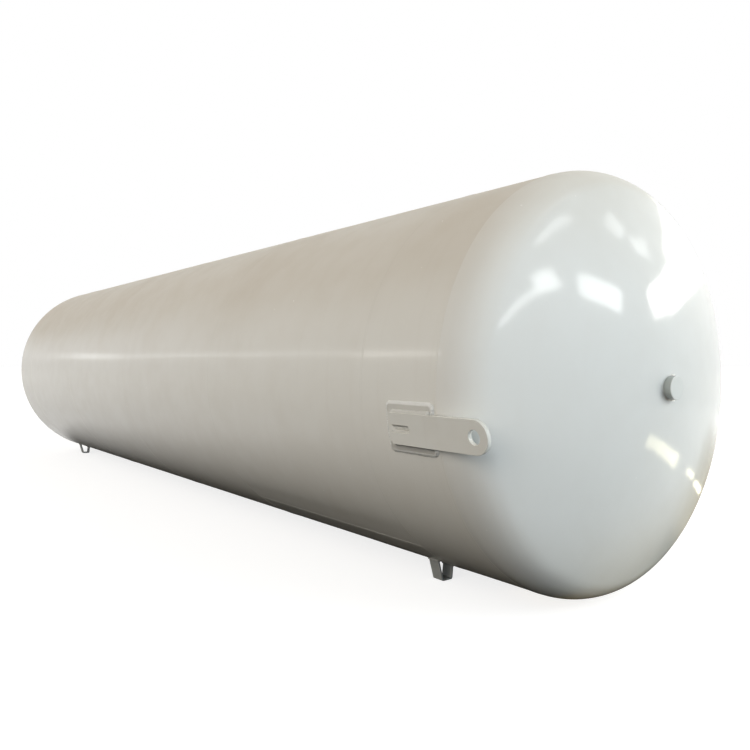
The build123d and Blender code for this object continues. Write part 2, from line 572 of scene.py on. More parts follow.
class Nodes:
    """Adds shader nodes with their values and links in one call."""

    def __init__(self, tree: bpy.types.NodeTree) -> None:
        """Keeps the tree that the nodes go into."""
        self.tree = tree

    @classmethod
    def cleared(cls, owner: bpy.types.Material | bpy.types.World) -> "Nodes":
        """Gives a material or world an empty tree to fill."""
        owner.use_nodes = True
        owner.node_tree.nodes.clear()
        return cls(owner.node_tree)

    def feed(self, socket: Socket, value: object) -> None:
        """Links a socket to another socket's output, or sets its value."""
        if isinstance(value, bpy.types.NodeSocket):
            self.tree.links.new(value, socket)
        elif isinstance(value, tuple) and len(value) == 3 and socket.type == "RGBA":
            socket.default_value = (*value, 1.0)
        else:
            socket.default_value = value

    def add(self, kind: str, inputs: dict[str | int, object], **settings: object) -> bpy.types.Node:
        """Adds a node.

        Args:
            kind: The node's type.
            inputs: Values or sockets by the input's name or number.
            settings: The node's own options.

        Returns:
            The node.
        """
        node = self.tree.nodes.new(kind)
        for name, value in settings.items():
            setattr(node, name, value)
        for key, value in inputs.items():
            self.feed(node.inputs[key], value)
        return node

    def math(self, operation: str, *values: object) -> Socket:
        """Adds a Math node and gives its output."""
        return self.add("ShaderNodeMath", dict(enumerate(values)), operation=operation).outputs[0]

    def times(self, first: object, second: object) -> Socket:
        """Multiplies two values."""
        return self.math("MULTIPLY", first, second)

    def weighed(self, first: object, share: float, second: object, other_share: float) -> Socket:
        """Adds two values, each times its share."""
        return self.math("ADD", self.times(first, share), self.times(second, other_share))

    def larger(self, first: object, second: object) -> Socket:
        """Gives the larger of two values."""
        return self.math("MAXIMUM", first, second)

    def span(self, value: object, given: Pair, wanted: Pair = (0.0, 1.0)) -> Socket:
        """Maps one range smoothly onto another, held at both ends."""
        limits = dict(zip(("From Min", "From Max", "To Min", "To Max"), given + wanted))
        inputs = {"Value": value, **limits}
        return self.add("ShaderNodeMapRange", inputs, interpolation_type="SMOOTHSTEP").outputs[0]

    def mix(self, share: object, first: object, second: object) -> Socket:
        """Mixes two colours by a share and gives the colour."""
        node = self.add("ShaderNodeMix", {0: share, 6: first, 7: second}, data_type="RGBA")
        return node.outputs[2]

    def noise(self, vector: object, scale: float, detail: float = 3.0) -> Socket:
        """Adds fractal noise on a vector and gives its value."""
        inputs = {"Vector": vector, "Scale": scale, "Detail": detail}
        return self.add("ShaderNodeTexNoise", inputs).outputs[0]

    def stretched(self, vector: object, scale: Point) -> Socket:
        """Scales a vector along each axis."""
        return self.add("ShaderNodeMapping", {"Vector": vector, "Scale": scale}).outputs[0]

    def place(self) -> Socket:
        """Object coordinates of the point that is shaded."""
        return self.add("ShaderNodeTexCoord", {}).outputs["Object"]

    def parts(self, vector: object) -> bpy.types.NodeOutputs:
        """Splits a vector into its three parts."""
        return self.add("ShaderNodeSeparateXYZ", {0: vector}).outputs

    def bumped(self, height: object) -> Socket:
        """Normal bumped by a height in metres."""
        inputs = {"Height": height, "Distance": 1.0, "Strength": 1.0}
        return self.add("ShaderNodeBump", inputs).outputs[0]

    def surface(self, shader: bpy.types.Node) -> None:
        """Makes a shader the material's surface."""
        self.add("ShaderNodeOutputMaterial", {"Surface": shader.outputs[0]})


class PaintFilm:
    """The shared node group of a paint film: colour drift, run marks, dust that also darkens upward faces as
    painted shade, flecks and orange peel.
    """

    name = "paint_film"
    colours = ("Paint", "Dust", "Speck")
    amounts = ("Drift", "Runs", "Settled", "Flecks", "Peel")
    values = ("Roughness", "Gloss", "Height")
    broad_scale = 0.8
    broad_share = 0.65
    middle_scale = 5.5
    middle_share = 0.35
    drift_range: Pair = (0.38, 0.66)
    run_stretch: Point = (11.0, 2.0, 0.45)
    run_scale = 1.3
    run_range: Pair = (0.54, 0.74)
    upward_range: Pair = (0.05, 0.70)
    patch_range: Pair = (0.25, 0.75)
    patch_share: Pair = (0.75, 1.0)
    fleck_cells = 9.0
    fleck_reach = 0.055
    fleck_choice = 0.60
    matt_range: Pair = (0.30, 0.70)
    matt_roughness: Pair = (0.48, 0.62)
    dust_dulling = 2.0
    run_dulling = 0.8
    fine_scale = 120.0
    fine_share = 0.35
    coarse_scale = 26.0
    coarse_share = 0.65

    @classmethod
    def group(cls) -> bpy.types.NodeTree:
        """Builds the group once and gives it.

        Returns:
            A group with colours and amounts going in, and Colour, Roughness, Gloss and Height coming out.
        """
        found = bpy.data.node_groups.get(cls.name)
        if found is not None:
            return found
        tree = bpy.data.node_groups.new(cls.name, "ShaderNodeTree")
        for colour in cls.colours:
            tree.interface.new_socket(colour, in_out="INPUT", socket_type="NodeSocketColor")
        for amount in cls.amounts:
            tree.interface.new_socket(amount, in_out="INPUT", socket_type="NodeSocketFloat")
        tree.interface.new_socket("Colour", in_out="OUTPUT", socket_type="NodeSocketColor")
        for value in cls.values:
            tree.interface.new_socket(value, in_out="OUTPUT", socket_type="NodeSocketFloat")
        nodes = Nodes(tree)
        given = nodes.add("NodeGroupInput", {}).outputs
        place = nodes.place()
        broad = nodes.noise(place, cls.broad_scale, detail=4.0)
        middle = nodes.noise(place, cls.middle_scale, detail=4.0)
        blend = nodes.weighed(broad, cls.broad_share, middle, cls.middle_share)
        drift = nodes.times(nodes.span(blend, cls.drift_range), given["Drift"])
        colour = nodes.mix(drift, given["Paint"], given["Dust"])
        streaks = nodes.noise(nodes.stretched(place, cls.run_stretch), cls.run_scale, detail=5.0)
        runs = nodes.times(nodes.span(streaks, cls.run_range), given["Runs"])
        colour = nodes.mix(runs, colour, given["Dust"])
        # Dust on upward faces, in patches; it also darkens the tops as painted shade
        facing = nodes.parts(nodes.add("ShaderNodeNewGeometry", {}).outputs["Normal"])
        patches = nodes.span(broad, cls.patch_range, cls.patch_share)
        upward = nodes.times(nodes.span(facing[2], cls.upward_range), patches)
        settled = nodes.times(upward, given["Settled"])
        colour = nodes.mix(settled, colour, given["Dust"])
        cells = nodes.add("ShaderNodeTexVoronoi", {"Vector": place, "Scale": cls.fleck_cells})
        drawn = nodes.add("ShaderNodeSeparateColor", {0: cells.outputs["Color"]}).outputs
        near = nodes.math("LESS_THAN", cells.outputs["Distance"], nodes.times(drawn[1], cls.fleck_reach))
        fleck = nodes.times(near, nodes.math("GREATER_THAN", drawn[0], cls.fleck_choice))
        colour = nodes.mix(nodes.times(fleck, given["Flecks"]), colour, given["Speck"])
        rough = nodes.span(middle, cls.matt_range, cls.matt_roughness)
        dulled = nodes.weighed(settled, cls.dust_dulling, runs, cls.run_dulling)
        gloss = nodes.span(dulled, (0.0, 1.0), (1.0, 0.0))
        fine = nodes.noise(place, cls.fine_scale, detail=1.0)
        coarse = nodes.noise(place, cls.coarse_scale, detail=2.0)
        peel = nodes.times(nodes.weighed(fine, cls.fine_share, coarse, cls.coarse_share), given["Peel"])
        nodes.add("NodeGroupOutput", {"Colour": colour, "Roughness": rough, "Gloss": gloss, "Height": peel})
        return tree


# Colours of dust, which upward faces also take as painted shade
WARM_DUST_AND_SHADE: Colour = (0.50, 0.44, 0.36)
GREY_DUST_AND_SHADE: Colour = (0.25, 0.25, 0.24)
BROWN_SOOT_AND_SHADE: Colour = (0.20, 0.18, 0.15)
# Green-grey painted shade for the vent's neck, fillet and skirt under the cap
GREEN_CAP_SHADE: Colour = (0.24, 0.28, 0.28)
PALE_SPECK: Colour = (0.90, 0.89, 0.86)
RUST: Colour = (0.16, 0.11, 0.08)


@dataclass(frozen=True)
class Paint:
    """A painted finish on the shared film.

    Attributes:
        name: The material's name.
        paint: Colour of the clean film.
        drift: Share of slow colour drift.
        runs: Share of run marks down the sides.
        settled: Share of dust on upward faces, which also darkens them as painted shade.
        flecks: Share of small specks.
        gloss: Roughness of the clear gloss on top of the film.
        peel: Height of the orange peel in metres.
        dust: Colour of what settles on it, which upward faces also take as painted shade.
        soot_and_shade: Colour in the crevices beside welds and under parts, standing for sooty dirt and
            painted shade.
        soot_and_shade_share: How strongly it shows there.
        speck: Colour of the specks.
        clear: Share of the clear gloss on clean film.
        film_shine: How much the film below the gloss reflects.
    """

    name: str
    paint: Colour
    drift: float
    runs: float
    settled: float
    flecks: float
    gloss: float
    peel: float
    dust: Colour = WARM_DUST_AND_SHADE
    soot_and_shade: Colour = BROWN_SOOT_AND_SHADE
    soot_and_shade_share: float = 0.0
    speck: Colour = PALE_SPECK
    clear: float = 1.0
    film_shine: float = 0.15

    def material(self) -> bpy.types.Material:
        """Builds the material.

        Returns:
            A Principled paint whose colour, roughness and bump come from the film and the crevices.
        """
        made = bpy.data.materials.new(self.name)
        nodes = Nodes.cleared(made)
        film = nodes.add("ShaderNodeGroup", {}, node_tree=PaintFilm.group())
        colours = (self.paint, self.dust, self.speck)
        amounts = (self.drift, self.runs, self.settled, self.flecks, self.peel)
        for key, value in zip(PaintFilm.colours + PaintFilm.amounts, colours + amounts):
            nodes.feed(film.inputs[key], value)
        colour = film.outputs["Colour"]
        # Crevices darken towards the crevice colour: dirt, and painted shade where shade falls
        if self.soot_and_shade_share > 0:
            depth = nodes.add("ShaderNodeAttribute", {}, attribute_name=DIRT_AND_SHADE).outputs["Fac"]
            colour = nodes.mix(nodes.times(depth, self.soot_and_shade_share), colour, self.soot_and_shade)
        inputs = {
            "Base Color": colour,
            "Roughness": film.outputs["Roughness"],
            "Specular IOR Level": self.film_shine,
            "Coat Weight": nodes.times(film.outputs["Gloss"], self.clear),
            "Coat Roughness": self.gloss,
            "Normal": nodes.bumped(film.outputs["Height"]),
        }
        nodes.surface(nodes.add("ShaderNodeBsdfPrincipled", inputs))
        return made


@dataclass(frozen=True)
class PlatedSteel:
    """Bright plated steel with fine brush marks and dulled patches.

    Attributes:
        name: The material's name.
        base: Colour of the bright plating.
        dull: Colour of the patches.
        roughness: Roughness before marks and patches add to it.
        brush_stretch: How a brush mark is drawn out along each axis.
        brush_scale: Fineness of the brush marks.
        brush_rough: Roughness that they add.
        brush_depth: Their depth in metres.
        patch_scale: Fineness of the patches.
        patch_range: Pair of the noise over which a patch comes up.
        patch_rough: Roughness that they add.
    """

    name: str
    base: Colour
    dull: Colour = (0.62, 0.61, 0.58)
    roughness: float = 0.16
    brush_stretch: Point = (9.0, 60.0, 9.0)
    brush_scale: float = 40.0
    brush_rough: float = 0.12
    brush_depth: float = 0.00003
    patch_scale: float = 160.0
    patch_range: Pair = (0.42, 0.68)
    patch_rough: float = 0.18

    def material(self) -> bpy.types.Material:
        """Builds the material.

        Returns:
            A metallic material whose colour, roughness and bump follow brush marks and patches.
        """
        made = bpy.data.materials.new(self.name)
        nodes = Nodes.cleared(made)
        place = nodes.place()
        brushed = nodes.noise(nodes.stretched(place, self.brush_stretch), self.brush_scale)
        dulled = nodes.span(nodes.noise(place, self.patch_scale, detail=4.0), self.patch_range)
        rough = nodes.weighed(brushed, self.brush_rough, dulled, self.patch_rough)
        inputs = {
            "Base Color": nodes.mix(dulled, self.base, self.dull),
            "Metallic": 1.0,
            "Roughness": nodes.math("ADD", rough, self.roughness),
            "Normal": nodes.bumped(nodes.times(brushed, self.brush_depth)),
        }
        nodes.surface(nodes.add("ShaderNodeBsdfPrincipled", inputs))
        return made


SHELL_ENAMEL = Paint(
    name="shell_enamel", paint=(0.73, 0.73, 0.70), drift=0.10, runs=0.05, settled=0.70, flecks=0.8,
    gloss=0.15, peel=0.00004, clear=0.7,
)
SEAM_ENAMEL = replace(SHELL_ENAMEL, name="seam_enamel", flecks=0.2, gloss=0.18, soot_and_shade_share=0.12)
# Paler paint on the lengthwise welds, partly standing in for the highlight along them
JOINT_PAINT_AND_HIGHLIGHT = replace(
    SHELL_ENAMEL, name="joint_paint_and_highlight", paint=(0.84, 0.83, 0.80), flecks=0.2, gloss=0.16, clear=1.0,
)
HEAD_ENAMEL = Paint(
    name="head_enamel", paint=(0.73, 0.735, 0.715), drift=0.08, runs=0.03, settled=0.50, flecks=0.3,
    gloss=0.11, peel=0.00008,
)
# Its green-grey crevice colour is painted shade on the neck, fillet and skirt under the cap
VENT_ENAMEL = Paint(
    name="vent_enamel", paint=(0.715, 0.73, 0.71), drift=0.10, runs=0.05, settled=0.10, flecks=0.3,
    gloss=0.16, peel=0.00004, soot_and_shade=GREEN_CAP_SHADE, soot_and_shade_share=0.80,
)
# Its crevice colour shows dirt and painted shadow on the pad beside the plate, darkest below it
LUG_ENAMEL = Paint(
    name="lug_enamel", paint=(0.675, 0.68, 0.65), drift=0.18, runs=0.08, settled=0.25, flecks=0.4,
    gloss=0.22, peel=0.00008, soot_and_shade_share=0.75,
)
# Its crevice colour shows dirt and painted shade at the weld toes
WELD_ENAMEL = Paint(
    name="weld_enamel", paint=(0.58, 0.585, 0.565), drift=0.20, runs=0.08, settled=0.10, flecks=0.3,
    gloss=0.20, peel=0.0001, soot_and_shade_share=0.25,
)
# Paler paint on the pad's fillet, partly standing in for the highlight along its top
FILLET_PAINT_AND_HIGHLIGHT = Paint(
    name="fillet_paint_and_highlight", paint=(0.76, 0.77, 0.76), drift=0.12, runs=0.04, settled=0.05, flecks=0.2,
    gloss=0.16, peel=0.0001, soot_and_shade_share=0.30,
)
FOOT_PAINT = Paint(
    name="foot_paint", paint=(0.40, 0.42, 0.42), drift=0.40, runs=0.30, settled=0.35, flecks=0.8,
    gloss=0.25, peel=0.00012, dust=GREY_DUST_AND_SHADE, speck=RUST, clear=0.3,
)
# Its crevice colour shows dirt and painted shade at the root welds' toes
FOOT_WELD = replace(
    FOOT_PAINT, name="foot_weld", paint=(0.46, 0.47, 0.46), runs=0.20, settled=0.30, flecks=0.6,
    peel=0.0001, soot_and_shade_share=0.4,
)
SCREW_PLATE = PlatedSteel(name="screw_plate", base=(0.90, 0.90, 0.88))


@dataclass
class Shell:
    """Rolled courses with their girth welds and one lengthwise weld each.

    Attributes:
        seams: Places of the girth seams along X, from the plain end to the vent end.
        joints: Angle of each course's lengthwise weld in degrees, staggered from course to course.
        wall: Thickness of the plate.
        girth: The welds round the seams.
        joint: The lengthwise welds.
        dent: How far the plate's waves go in at most.
        dent_gain: How much of that range the waves use.
        seam_reach: How far from a girth seam the waves come up fully.
        seam_share: Their share at the seam.
        joint_reach: How far from a lengthwise weld they come up fully.
        joint_share: Their share at the weld.
        flat: How far the rolls leave the plate set in beside a lengthwise weld.
        flat_place: How far from the weld that is deepest.
        flat_spread: How far it spreads from there.
        facets: Points round the tank.
        row_step: About the spacing of the rings of points.
        fewest_rows: Fewest of them on a course.
        course_seed: Seed of the first course's waves.
        girth_seed: Seed of the first girth weld's slow waves.
        joint_seed: Seed of the first lengthwise weld's slow waves.
    """

    seams: tuple[float, ...] = (-4.615, -4.0, -2.0, 0.0, 2.0, 4.0, 4.615)
    joints: tuple[float, ...] = (150.0, 112.0, 168.0, 120.0, -51.0, 140.0)
    wall: float = 0.010
    girth: ButtWeld = ButtWeld(
        width=0.016, height=0.0018, ripple=0.016, level=0.82, wave=0.10, slow=0.05, spread=1.0, sink=0.0002
    )
    joint: ButtWeld = ButtWeld(
        width=0.016, height=0.003, ripple=0.012, level=0.78, wave=0.12, slow=0.06, spread=0.95, sink=0.0007
    )
    dent: float = 0.0009
    dent_gain: float = -0.32
    seam_reach: float = 0.22
    seam_share: float = 0.35
    joint_reach: float = 0.20
    joint_share: float = 0.25
    flat: float = 0.0026
    flat_place: float = 0.12
    flat_spread: float = 0.075
    facets: int = 360
    row_step: float = 0.025
    fewest_rows: int = 12
    course_seed: int = 11
    girth_seed: int = 31
    joint_seed: int = 61

    def course(self, number: int) -> Surface:
        """A tube of rolled plate: the outside eases inwards by up to the dent, away from its welds.

        The waves are one half plus their gain times a sum of cosines, held between 0 and 1. They ease off
        towards each girth seam and towards the lengthwise weld. Beside that weld the plate is left flatter
        by the rolls, which sets it in by a bell curve on either side.

        Args:
            number: The course, counted from 0 at the plain end.

        Returns:
            The tube, closed over its wall.
        """
        start, stop = self.seams[number], self.seams[number + 1]
        rows = max(round((stop - start) / self.row_step), self.fewest_rows)
        outer = np.linspace(start, stop, rows + 1)[:, None]
        angle = full_turn(self.facets)[None, :]
        waves = Waviness(self.course_seed + number, count=14, most_turns=8, shortest=0.9)
        wave = waves.share(self.dent_gain, angle, outer)
        from_seam = ease(np.minimum(outer - start, stop - outer) / self.seam_reach, self.seam_share)
        apart = np.arccos(np.cos(angle - radians(self.joints[number]))) * AXIS.radius
        from_joint = ease(apart / self.joint_reach, self.joint_share)
        flat = self.flat * bell(apart, self.flat_place, self.flat_spread)
        outside = AXIS.ring(outer, AXIS.radius - flat - self.dent * wave * from_seam * from_joint, angle)
        inside = AXIS.ring(np.array([[stop], [start]]), AXIS.radius - self.wall, angle)
        return Surface.lofted(np.concatenate([outside, inside]), joined=True)

    def girth_weld(self, number: int) -> Surface:
        """A weld cap carried round a seam, over a full turn.

        Args:
            number: The seam, counted from 0 at the plain end.

        Returns:
            The ring-shaped cap.
        """
        ripples = round(2 * pi * AXIS.radius / self.girth.ripple)
        angle = full_turn(STEPS_PER_RIPPLE * ripples)[:, None]
        slow = Waviness(self.girth_seed + number, count=8, most_turns=60).around(angle)
        across, rise, darkening = self.girth.section(ripples * angle, slow)
        points = AXIS.ring(self.seams[number] + across, AXIS.radius + rise, angle)
        return Surface.lofted(points, joined=True, grime=darkening)

    def lengthwise_weld(self, number: int) -> Surface:
        """A weld cap along a course, from one girth weld to the next, at the course's own angle.

        Args:
            number: The course, counted from 0 at the plain end.

        Returns:
            The straight cap, closed at both ends.
        """
        start, stop = self.seams[number], self.seams[number + 1]
        ripples = round((stop - start) / self.joint.ripple)
        x = np.linspace(start, stop, STEPS_PER_RIPPLE * ripples + 1)[:, None]
        slow = Waviness(self.joint_seed + number, count=8, most_turns=1, shortest=0.09).lengthwise(x)
        across, rise, darkening = self.joint.section(2 * pi * (x - start) / self.joint.ripple, slow)
        points = AXIS.wrapped(x, across, rise, radians(self.joints[number]))
        return Surface.lofted(points, grime=darkening)

    def build(self) -> None:
        """Adds the courses, the lengthwise welds and the girth welds."""
        plate, weld, joint = SHELL_ENAMEL.material(), SEAM_ENAMEL.material(), JOINT_PAINT_AND_HIGHLIGHT.material()
        for number in range(len(self.joints)):
            label = f"course_{number + 1}"
            add_piece(f"rolled_{label}", self.course(number), plate, [f"shell_{label}"])
            add_piece(f"lengthwise_seam_{number + 1}", self.lengthwise_weld(number), joint, [])
        for number in range(len(self.seams)):
            node = f"girth_weld_{number + 1}"
            add_piece(f"girth_seam_{number + 1}", self.girth_weld(number), weld, [node])


@dataclass
class Head:
    """A dished head: crown, knuckle and a short straight flange, pressed and spun from plate.

    Attributes:
        end: The end that it closes.
        bore: Radius of the hole at its middle, or zero.
        tangent: Place of the tangent line, where the knuckle meets the flange.
        flange: Length of the flange.
        wall: Thickness of the plate.
        crown: Outer radius of the crown.
        knuckle: Outer radius of the knuckle.
        pole: Radius of the smallest ring of points, where there is no bore.
        facets: Points round the head.
        outer_step: Spacing of the points over the outside.
        inner_step: Spacing of the points over the inside.
        knuckle_step: Spacing on the knuckle, as a share.
        dent: How far broad waves go in at most.
        dent_gain: How much of that range they use.
        dent_seed: Their seed. Each seed here gains the end's sign.
        ripple: How far fine waves go in at most.
        ripple_gain: How much of that range they use.
        ripple_seed: Their seed.
        spin_mark: Depth of the spinning marks.
        spin_pitch: Spacing of the spinning marks.
        spin_lag: How far the marks wander, in radians.
        spin_seed: Seed of that.
        spin_place: How far from the flange's end they are deepest.
        spin_spread: How far they spread from there.
        rim_reach: How far from the flange all of these come up fully.
        vent_clear: Radius at the middle that they leave free.
        vent_reach: How far outside it they come up fully.
    """

    end: End
    bore: float
    tangent: float = 4.640
    flange: float = 0.025
    wall: float = 0.012
    crown: float = 2.500
    knuckle: float = 0.250
    pole: float = 0.003
    facets: int = 384
    outer_step: float = 0.024
    inner_step: float = 0.07
    knuckle_step: float = 0.45
    dent: float = 0.0011
    dent_gain: float = -0.32
    dent_seed: int = 5
    ripple: float = 0.0010
    ripple_gain: float = 0.25
    ripple_seed: int = 23
    spin_mark: float = 0.00026
    spin_pitch: float = 0.062
    spin_lag: float = 1.4
    spin_seed: int = 17
    spin_place: float = 0.20
    spin_spread: float = 0.13
    rim_reach: float = 0.10
    vent_clear: float = 0.10
    vent_reach: float = 0.30

    def crown_centre(self) -> float:
        """Place of the crown's centre behind the tangent line, on the axis."""
        return -sqrt((self.crown - self.knuckle) ** 2 - (AXIS.radius - self.knuckle) ** 2)

    def crown_x(self, r: Array) -> Array:
        """Place of the crown's outside along X at a radius from the axis."""
        return self.end.value * (self.tangent + self.crown_centre() + np.sqrt(self.crown**2 - r**2))

    def profile(self, inset: float, step: float) -> tuple[Array, Array]:
        """Crown arc, knuckle arc and flange as one line, from the middle to the flange's end.

        Args:
            inset: How far the line lies inside the outer face.
            step: Spacing of its points.

        Returns:
            Places past the tangent line with radii, and unit normals, one row per point.
        """
        centre = self.crown_centre()
        shoulder = AXIS.radius - self.knuckle
        turn = atan2(shoulder, -centre)
        start = max(self.bore, self.pole) / self.crown
        bend = pi / 2 - turn
        crown = np.linspace(start, turn, int((turn - start) * self.crown / step) + 2)
        knuckle = np.linspace(turn, pi / 2, int(bend * self.knuckle / (self.knuckle_step * step)) + 2)[1:]
        straight = np.linspace(0.0, -self.flange, 4)[1:]
        out, small = self.crown - inset, self.knuckle - inset
        line = np.concatenate([
            np.stack([centre + out * np.cos(crown), out * np.sin(crown)], axis=-1),
            np.stack([small * np.cos(knuckle), shoulder + small * np.sin(knuckle)], axis=-1),
            np.stack([straight, np.full(len(straight), AXIS.radius - inset)], axis=-1),
        ])
        angles = np.concatenate([crown, knuckle, np.full(len(straight), pi / 2)])
        return line, np.stack([np.cos(angles), np.sin(angles)], axis=-1)

    def surface(self) -> Surface:
        """The head's wall: its outer line, set in along its normals, then its inner line.

        The offset is the dent times a share of broad waves, plus the ripple times a share of fine ones,
        plus rings of pitch spin_pitch that show on the knuckle. All ease to nothing at the flange and
        round the vent.

        Returns:
            The closed surface.
        """
        line, normals = self.profile(0.0, self.outer_step)
        inner = self.profile(self.wall, self.inner_step)[0][::-1]
        angle = full_turn(self.facets)[None, :]
        run = run_along(line)[:, None]
        left = run[-1] - run
        from_vent = ease((line[:, 1:] - self.vent_clear) / self.vent_reach)
        fade = ease((left - self.flange) / self.rim_reach) * from_vent
        broad = Waviness(self.dent_seed + self.end.value, count=16, most_turns=9, shortest=0.45)
        fine = Waviness(self.ripple_seed + self.end.value, count=22, most_turns=34, shortest=0.16)
        wander = Waviness(self.spin_seed + self.end.value, count=8, most_turns=11, shortest=0.6)
        dents = self.dent * broad.share(self.dent_gain, angle, run)
        ripples = self.ripple * fine.share(self.ripple_gain, angle, run)
        phase = 2 * pi * run / self.spin_pitch + self.spin_lag * wander.at(angle, run)
        rings = 0.5 + 0.5 * np.cos(phase)
        marks = self.spin_mark * rings * bell(left, self.spin_place, self.spin_spread)
        inward = fade * (dents + ripples + marks)
        x = line[:, :1] - inward * normals[:, :1]
        r = line[:, 1:] - inward * normals[:, 1:]
        outside = AXIS.ring(self.end.value * (self.tangent + x), r, angle)
        inside = AXIS.ring(self.end.value * (self.tangent + inner[:, :1]), inner[:, 1:], angle)
        return Surface.lofted(np.concatenate([outside, inside]), joined=self.bore > 0)

    def build(self, material: bpy.types.Material) -> None:
        """Adds the head."""
        label = self.end.name.lower()
        add_piece(f"{label}_end_dish", self.surface(), material, [f"{label}_end_head"])


@dataclass
class Vent:
    """The capped vent at the middle of one head: neck, fillet weld, turned cap and two screws.

    Attributes:
        head: The head that it stands in.
        neck_radius: Outer radius of the neck.
        neck_bore: Its inner radius.
        neck_sink: How far the neck goes below the crown.
        rim: Place of the neck's rim along X.
        rim_edge: Bevel of the rim's edges.
        weld: Leg of the fillet round the neck.
        cap_face: Place of the cap's face along X.
        cap_radius: Outer radius of the cap.
        cap_edge: Rounding of its face's edge.
        cap_hub: Radius of the smallest ring of points on its flats.
        face_rings: Radii of the further rings on its face.
        lid_ring: Radius of the further ring inside the lid.
        groove: Depth of the turned groove on the face, and its radius.
        skirt_bore: Inner radius of the skirt.
        skirt_end: Place of the skirt's end along X.
        skirt_lip: Rounding of that end's outer edge.
        skirt_bevel: Bevel of its inner edge.
        skirt_shade_start: How far behind the face the painted shade on the skirt starts.
        darkening_reach: How far it takes to come up fully.
        screw_x: Place of the screws along X.
        flats: Width over a screw head's flats.
        screw_head: Height of the head.
        screw_lip: Height of the ring just above its foot.
        screw_rows: Heights of the further rings, as shares of the head's.
        foot_share: Radius of the foot, where it is under the flats, as a share of the width over them.
        cone_share: Radius of the chamfer's cone at the top, as the same share.
        top_share: Radius of the last ring on top, as the same share.
        chamfer: Angle of the cone from the screw's axis, in degrees.
        shank: Radius of the shank.
        shank_depth: How deep the shank goes.
        shank_point: Radius of its end.
        shank_bevel: Length of the bevel there.
        facets: Points round the neck and the cap.
        screw_facets: Points round a screw.
    """

    head: Head
    neck_radius: float = 0.054
    neck_bore: float = 0.048
    neck_sink: float = 0.004
    rim: float = 5.15644
    rim_edge: float = 0.001
    weld: float = 0.0075
    cap_face: float = 5.16843
    cap_radius: float = 0.065
    cap_edge: float = 0.004
    cap_hub: float = 0.0006
    face_rings: tuple[float, ...] = (0.02, 0.045, 0.058)
    lid_ring: float = 0.03
    groove: Pair = (0.0004, 0.0595)
    skirt_bore: float = 0.057
    skirt_end: float = 5.13244
    skirt_lip: float = 0.0012
    skirt_bevel: float = 0.0008
    skirt_shade_start: float = 0.0015
    darkening_reach: float = 0.003
    screw_x: float = 5.14444
    flats: float = 0.017
    screw_head: float = 0.007
    screw_lip: float = 0.0004
    screw_rows: tuple[float, ...] = (0.25, 0.5, 0.78, 0.86, 0.93, 1.0)
    foot_share: float = 0.475
    cone_share: float = 0.47
    top_share: float = 0.40
    chamfer: float = 60.0
    shank: float = 0.005
    shank_depth: float = 0.0106
    shank_point: float = 0.0044
    shank_bevel: float = 0.0006
    facets: int = 128
    screw_facets: int = 96

    def turned(self, profile: Array, joined: bool, darkening: Array) -> Surface:
        """A profile of places along X and radii, carried round the axis, with the painted shade of each row.
        """
        rings = AXIS.ring(profile[:, :1], profile[:, 1:], full_turn(self.facets)[None, :])
        return Surface.lofted(rings, joined, np.broadcast_to(darkening[:, None], rings.shape[:2]))

    def neck(self) -> Surface:
        """A short pipe from below the crown to its rim, with both rim edges broken."""
        root = float(self.head.crown_x(np.array(self.neck_radius))) - self.neck_sink
        outline = [
            (root, self.neck_radius),
            (self.rim - self.rim_edge, self.neck_radius),
            (self.rim, self.neck_radius - self.rim_edge),
            (self.rim, self.neck_bore + self.rim_edge),
            (self.rim - self.rim_edge, self.neck_bore),
            (root, self.neck_bore),
        ]
        # The whole neck is darkened as painted shade under the cap
        return self.turned(np.array(outline), joined=True, darkening=np.ones(len(outline)))

    def neck_weld(self) -> Surface:
        """A fillet round the neck's foot, on a circle in the plane across the axis."""
        loop = evenly(arc((0.0, 0.0), self.neck_radius, 0, 360, 240)[:-1], step=0.0022, closed=True)
        middle = float(self.head.crown_x(np.array(0.0)))

        def place(across: Array, up: Array, rise: Array) -> Array:
            """Stands the circle's plane on the crown, with rise along X."""
            return np.stack([middle + rise, across, AXIS.height + up], axis=-1)

        def ground(across: Array, up: Array) -> Array:
            """How far the crown lies behind its middle."""
            return self.head.crown_x(np.hypot(across, up)) - middle

        bead = Bead(self.weld, self.weld, pitch=0.008, seed=7).surface(loop, place, ground, closed=True)
        # The whole fillet is darkened as painted shade under the cap
        bead.grime = np.ones_like(bead.grime)
        return bead

    def cap(self) -> Surface:
        """A lid with a skirt, as a profile from the middle of its face out, round, and back inside.

        It runs over the face with its groove, a round edge, the skirt's outside, end and bore, and the
        inside of the lid.

        Returns:
            The closed cap.
        """
        edge, lip = self.cap_edge, self.skirt_lip
        face = [(self.cap_face, r) for r in (self.cap_hub, *self.face_rings)]
        groove = [(self.cap_face - self.groove[0], self.groove[1])]
        corner = arc((self.cap_face - edge, self.cap_radius - edge), edge, 0, 90, 9)
        end = arc((self.skirt_end + lip, self.cap_radius - lip), lip, 90, 180, 5)
        bore = [
            (self.skirt_end, self.skirt_bore + self.skirt_bevel),
            (self.skirt_end + self.skirt_bevel, self.skirt_bore),
            (self.rim, self.skirt_bore),
            (self.rim, self.lid_ring),
            (self.rim, self.cap_hub),
        ]
        profile = np.concatenate([face, groove, corner, end, bore])
        # Painted shade darkens the skirt behind the cap's face
        darkening = ease((self.cap_face - self.skirt_shade_start - profile[:, 0]) / self.darkening_reach)
        return self.turned(profile, joined=False, darkening=darkening)

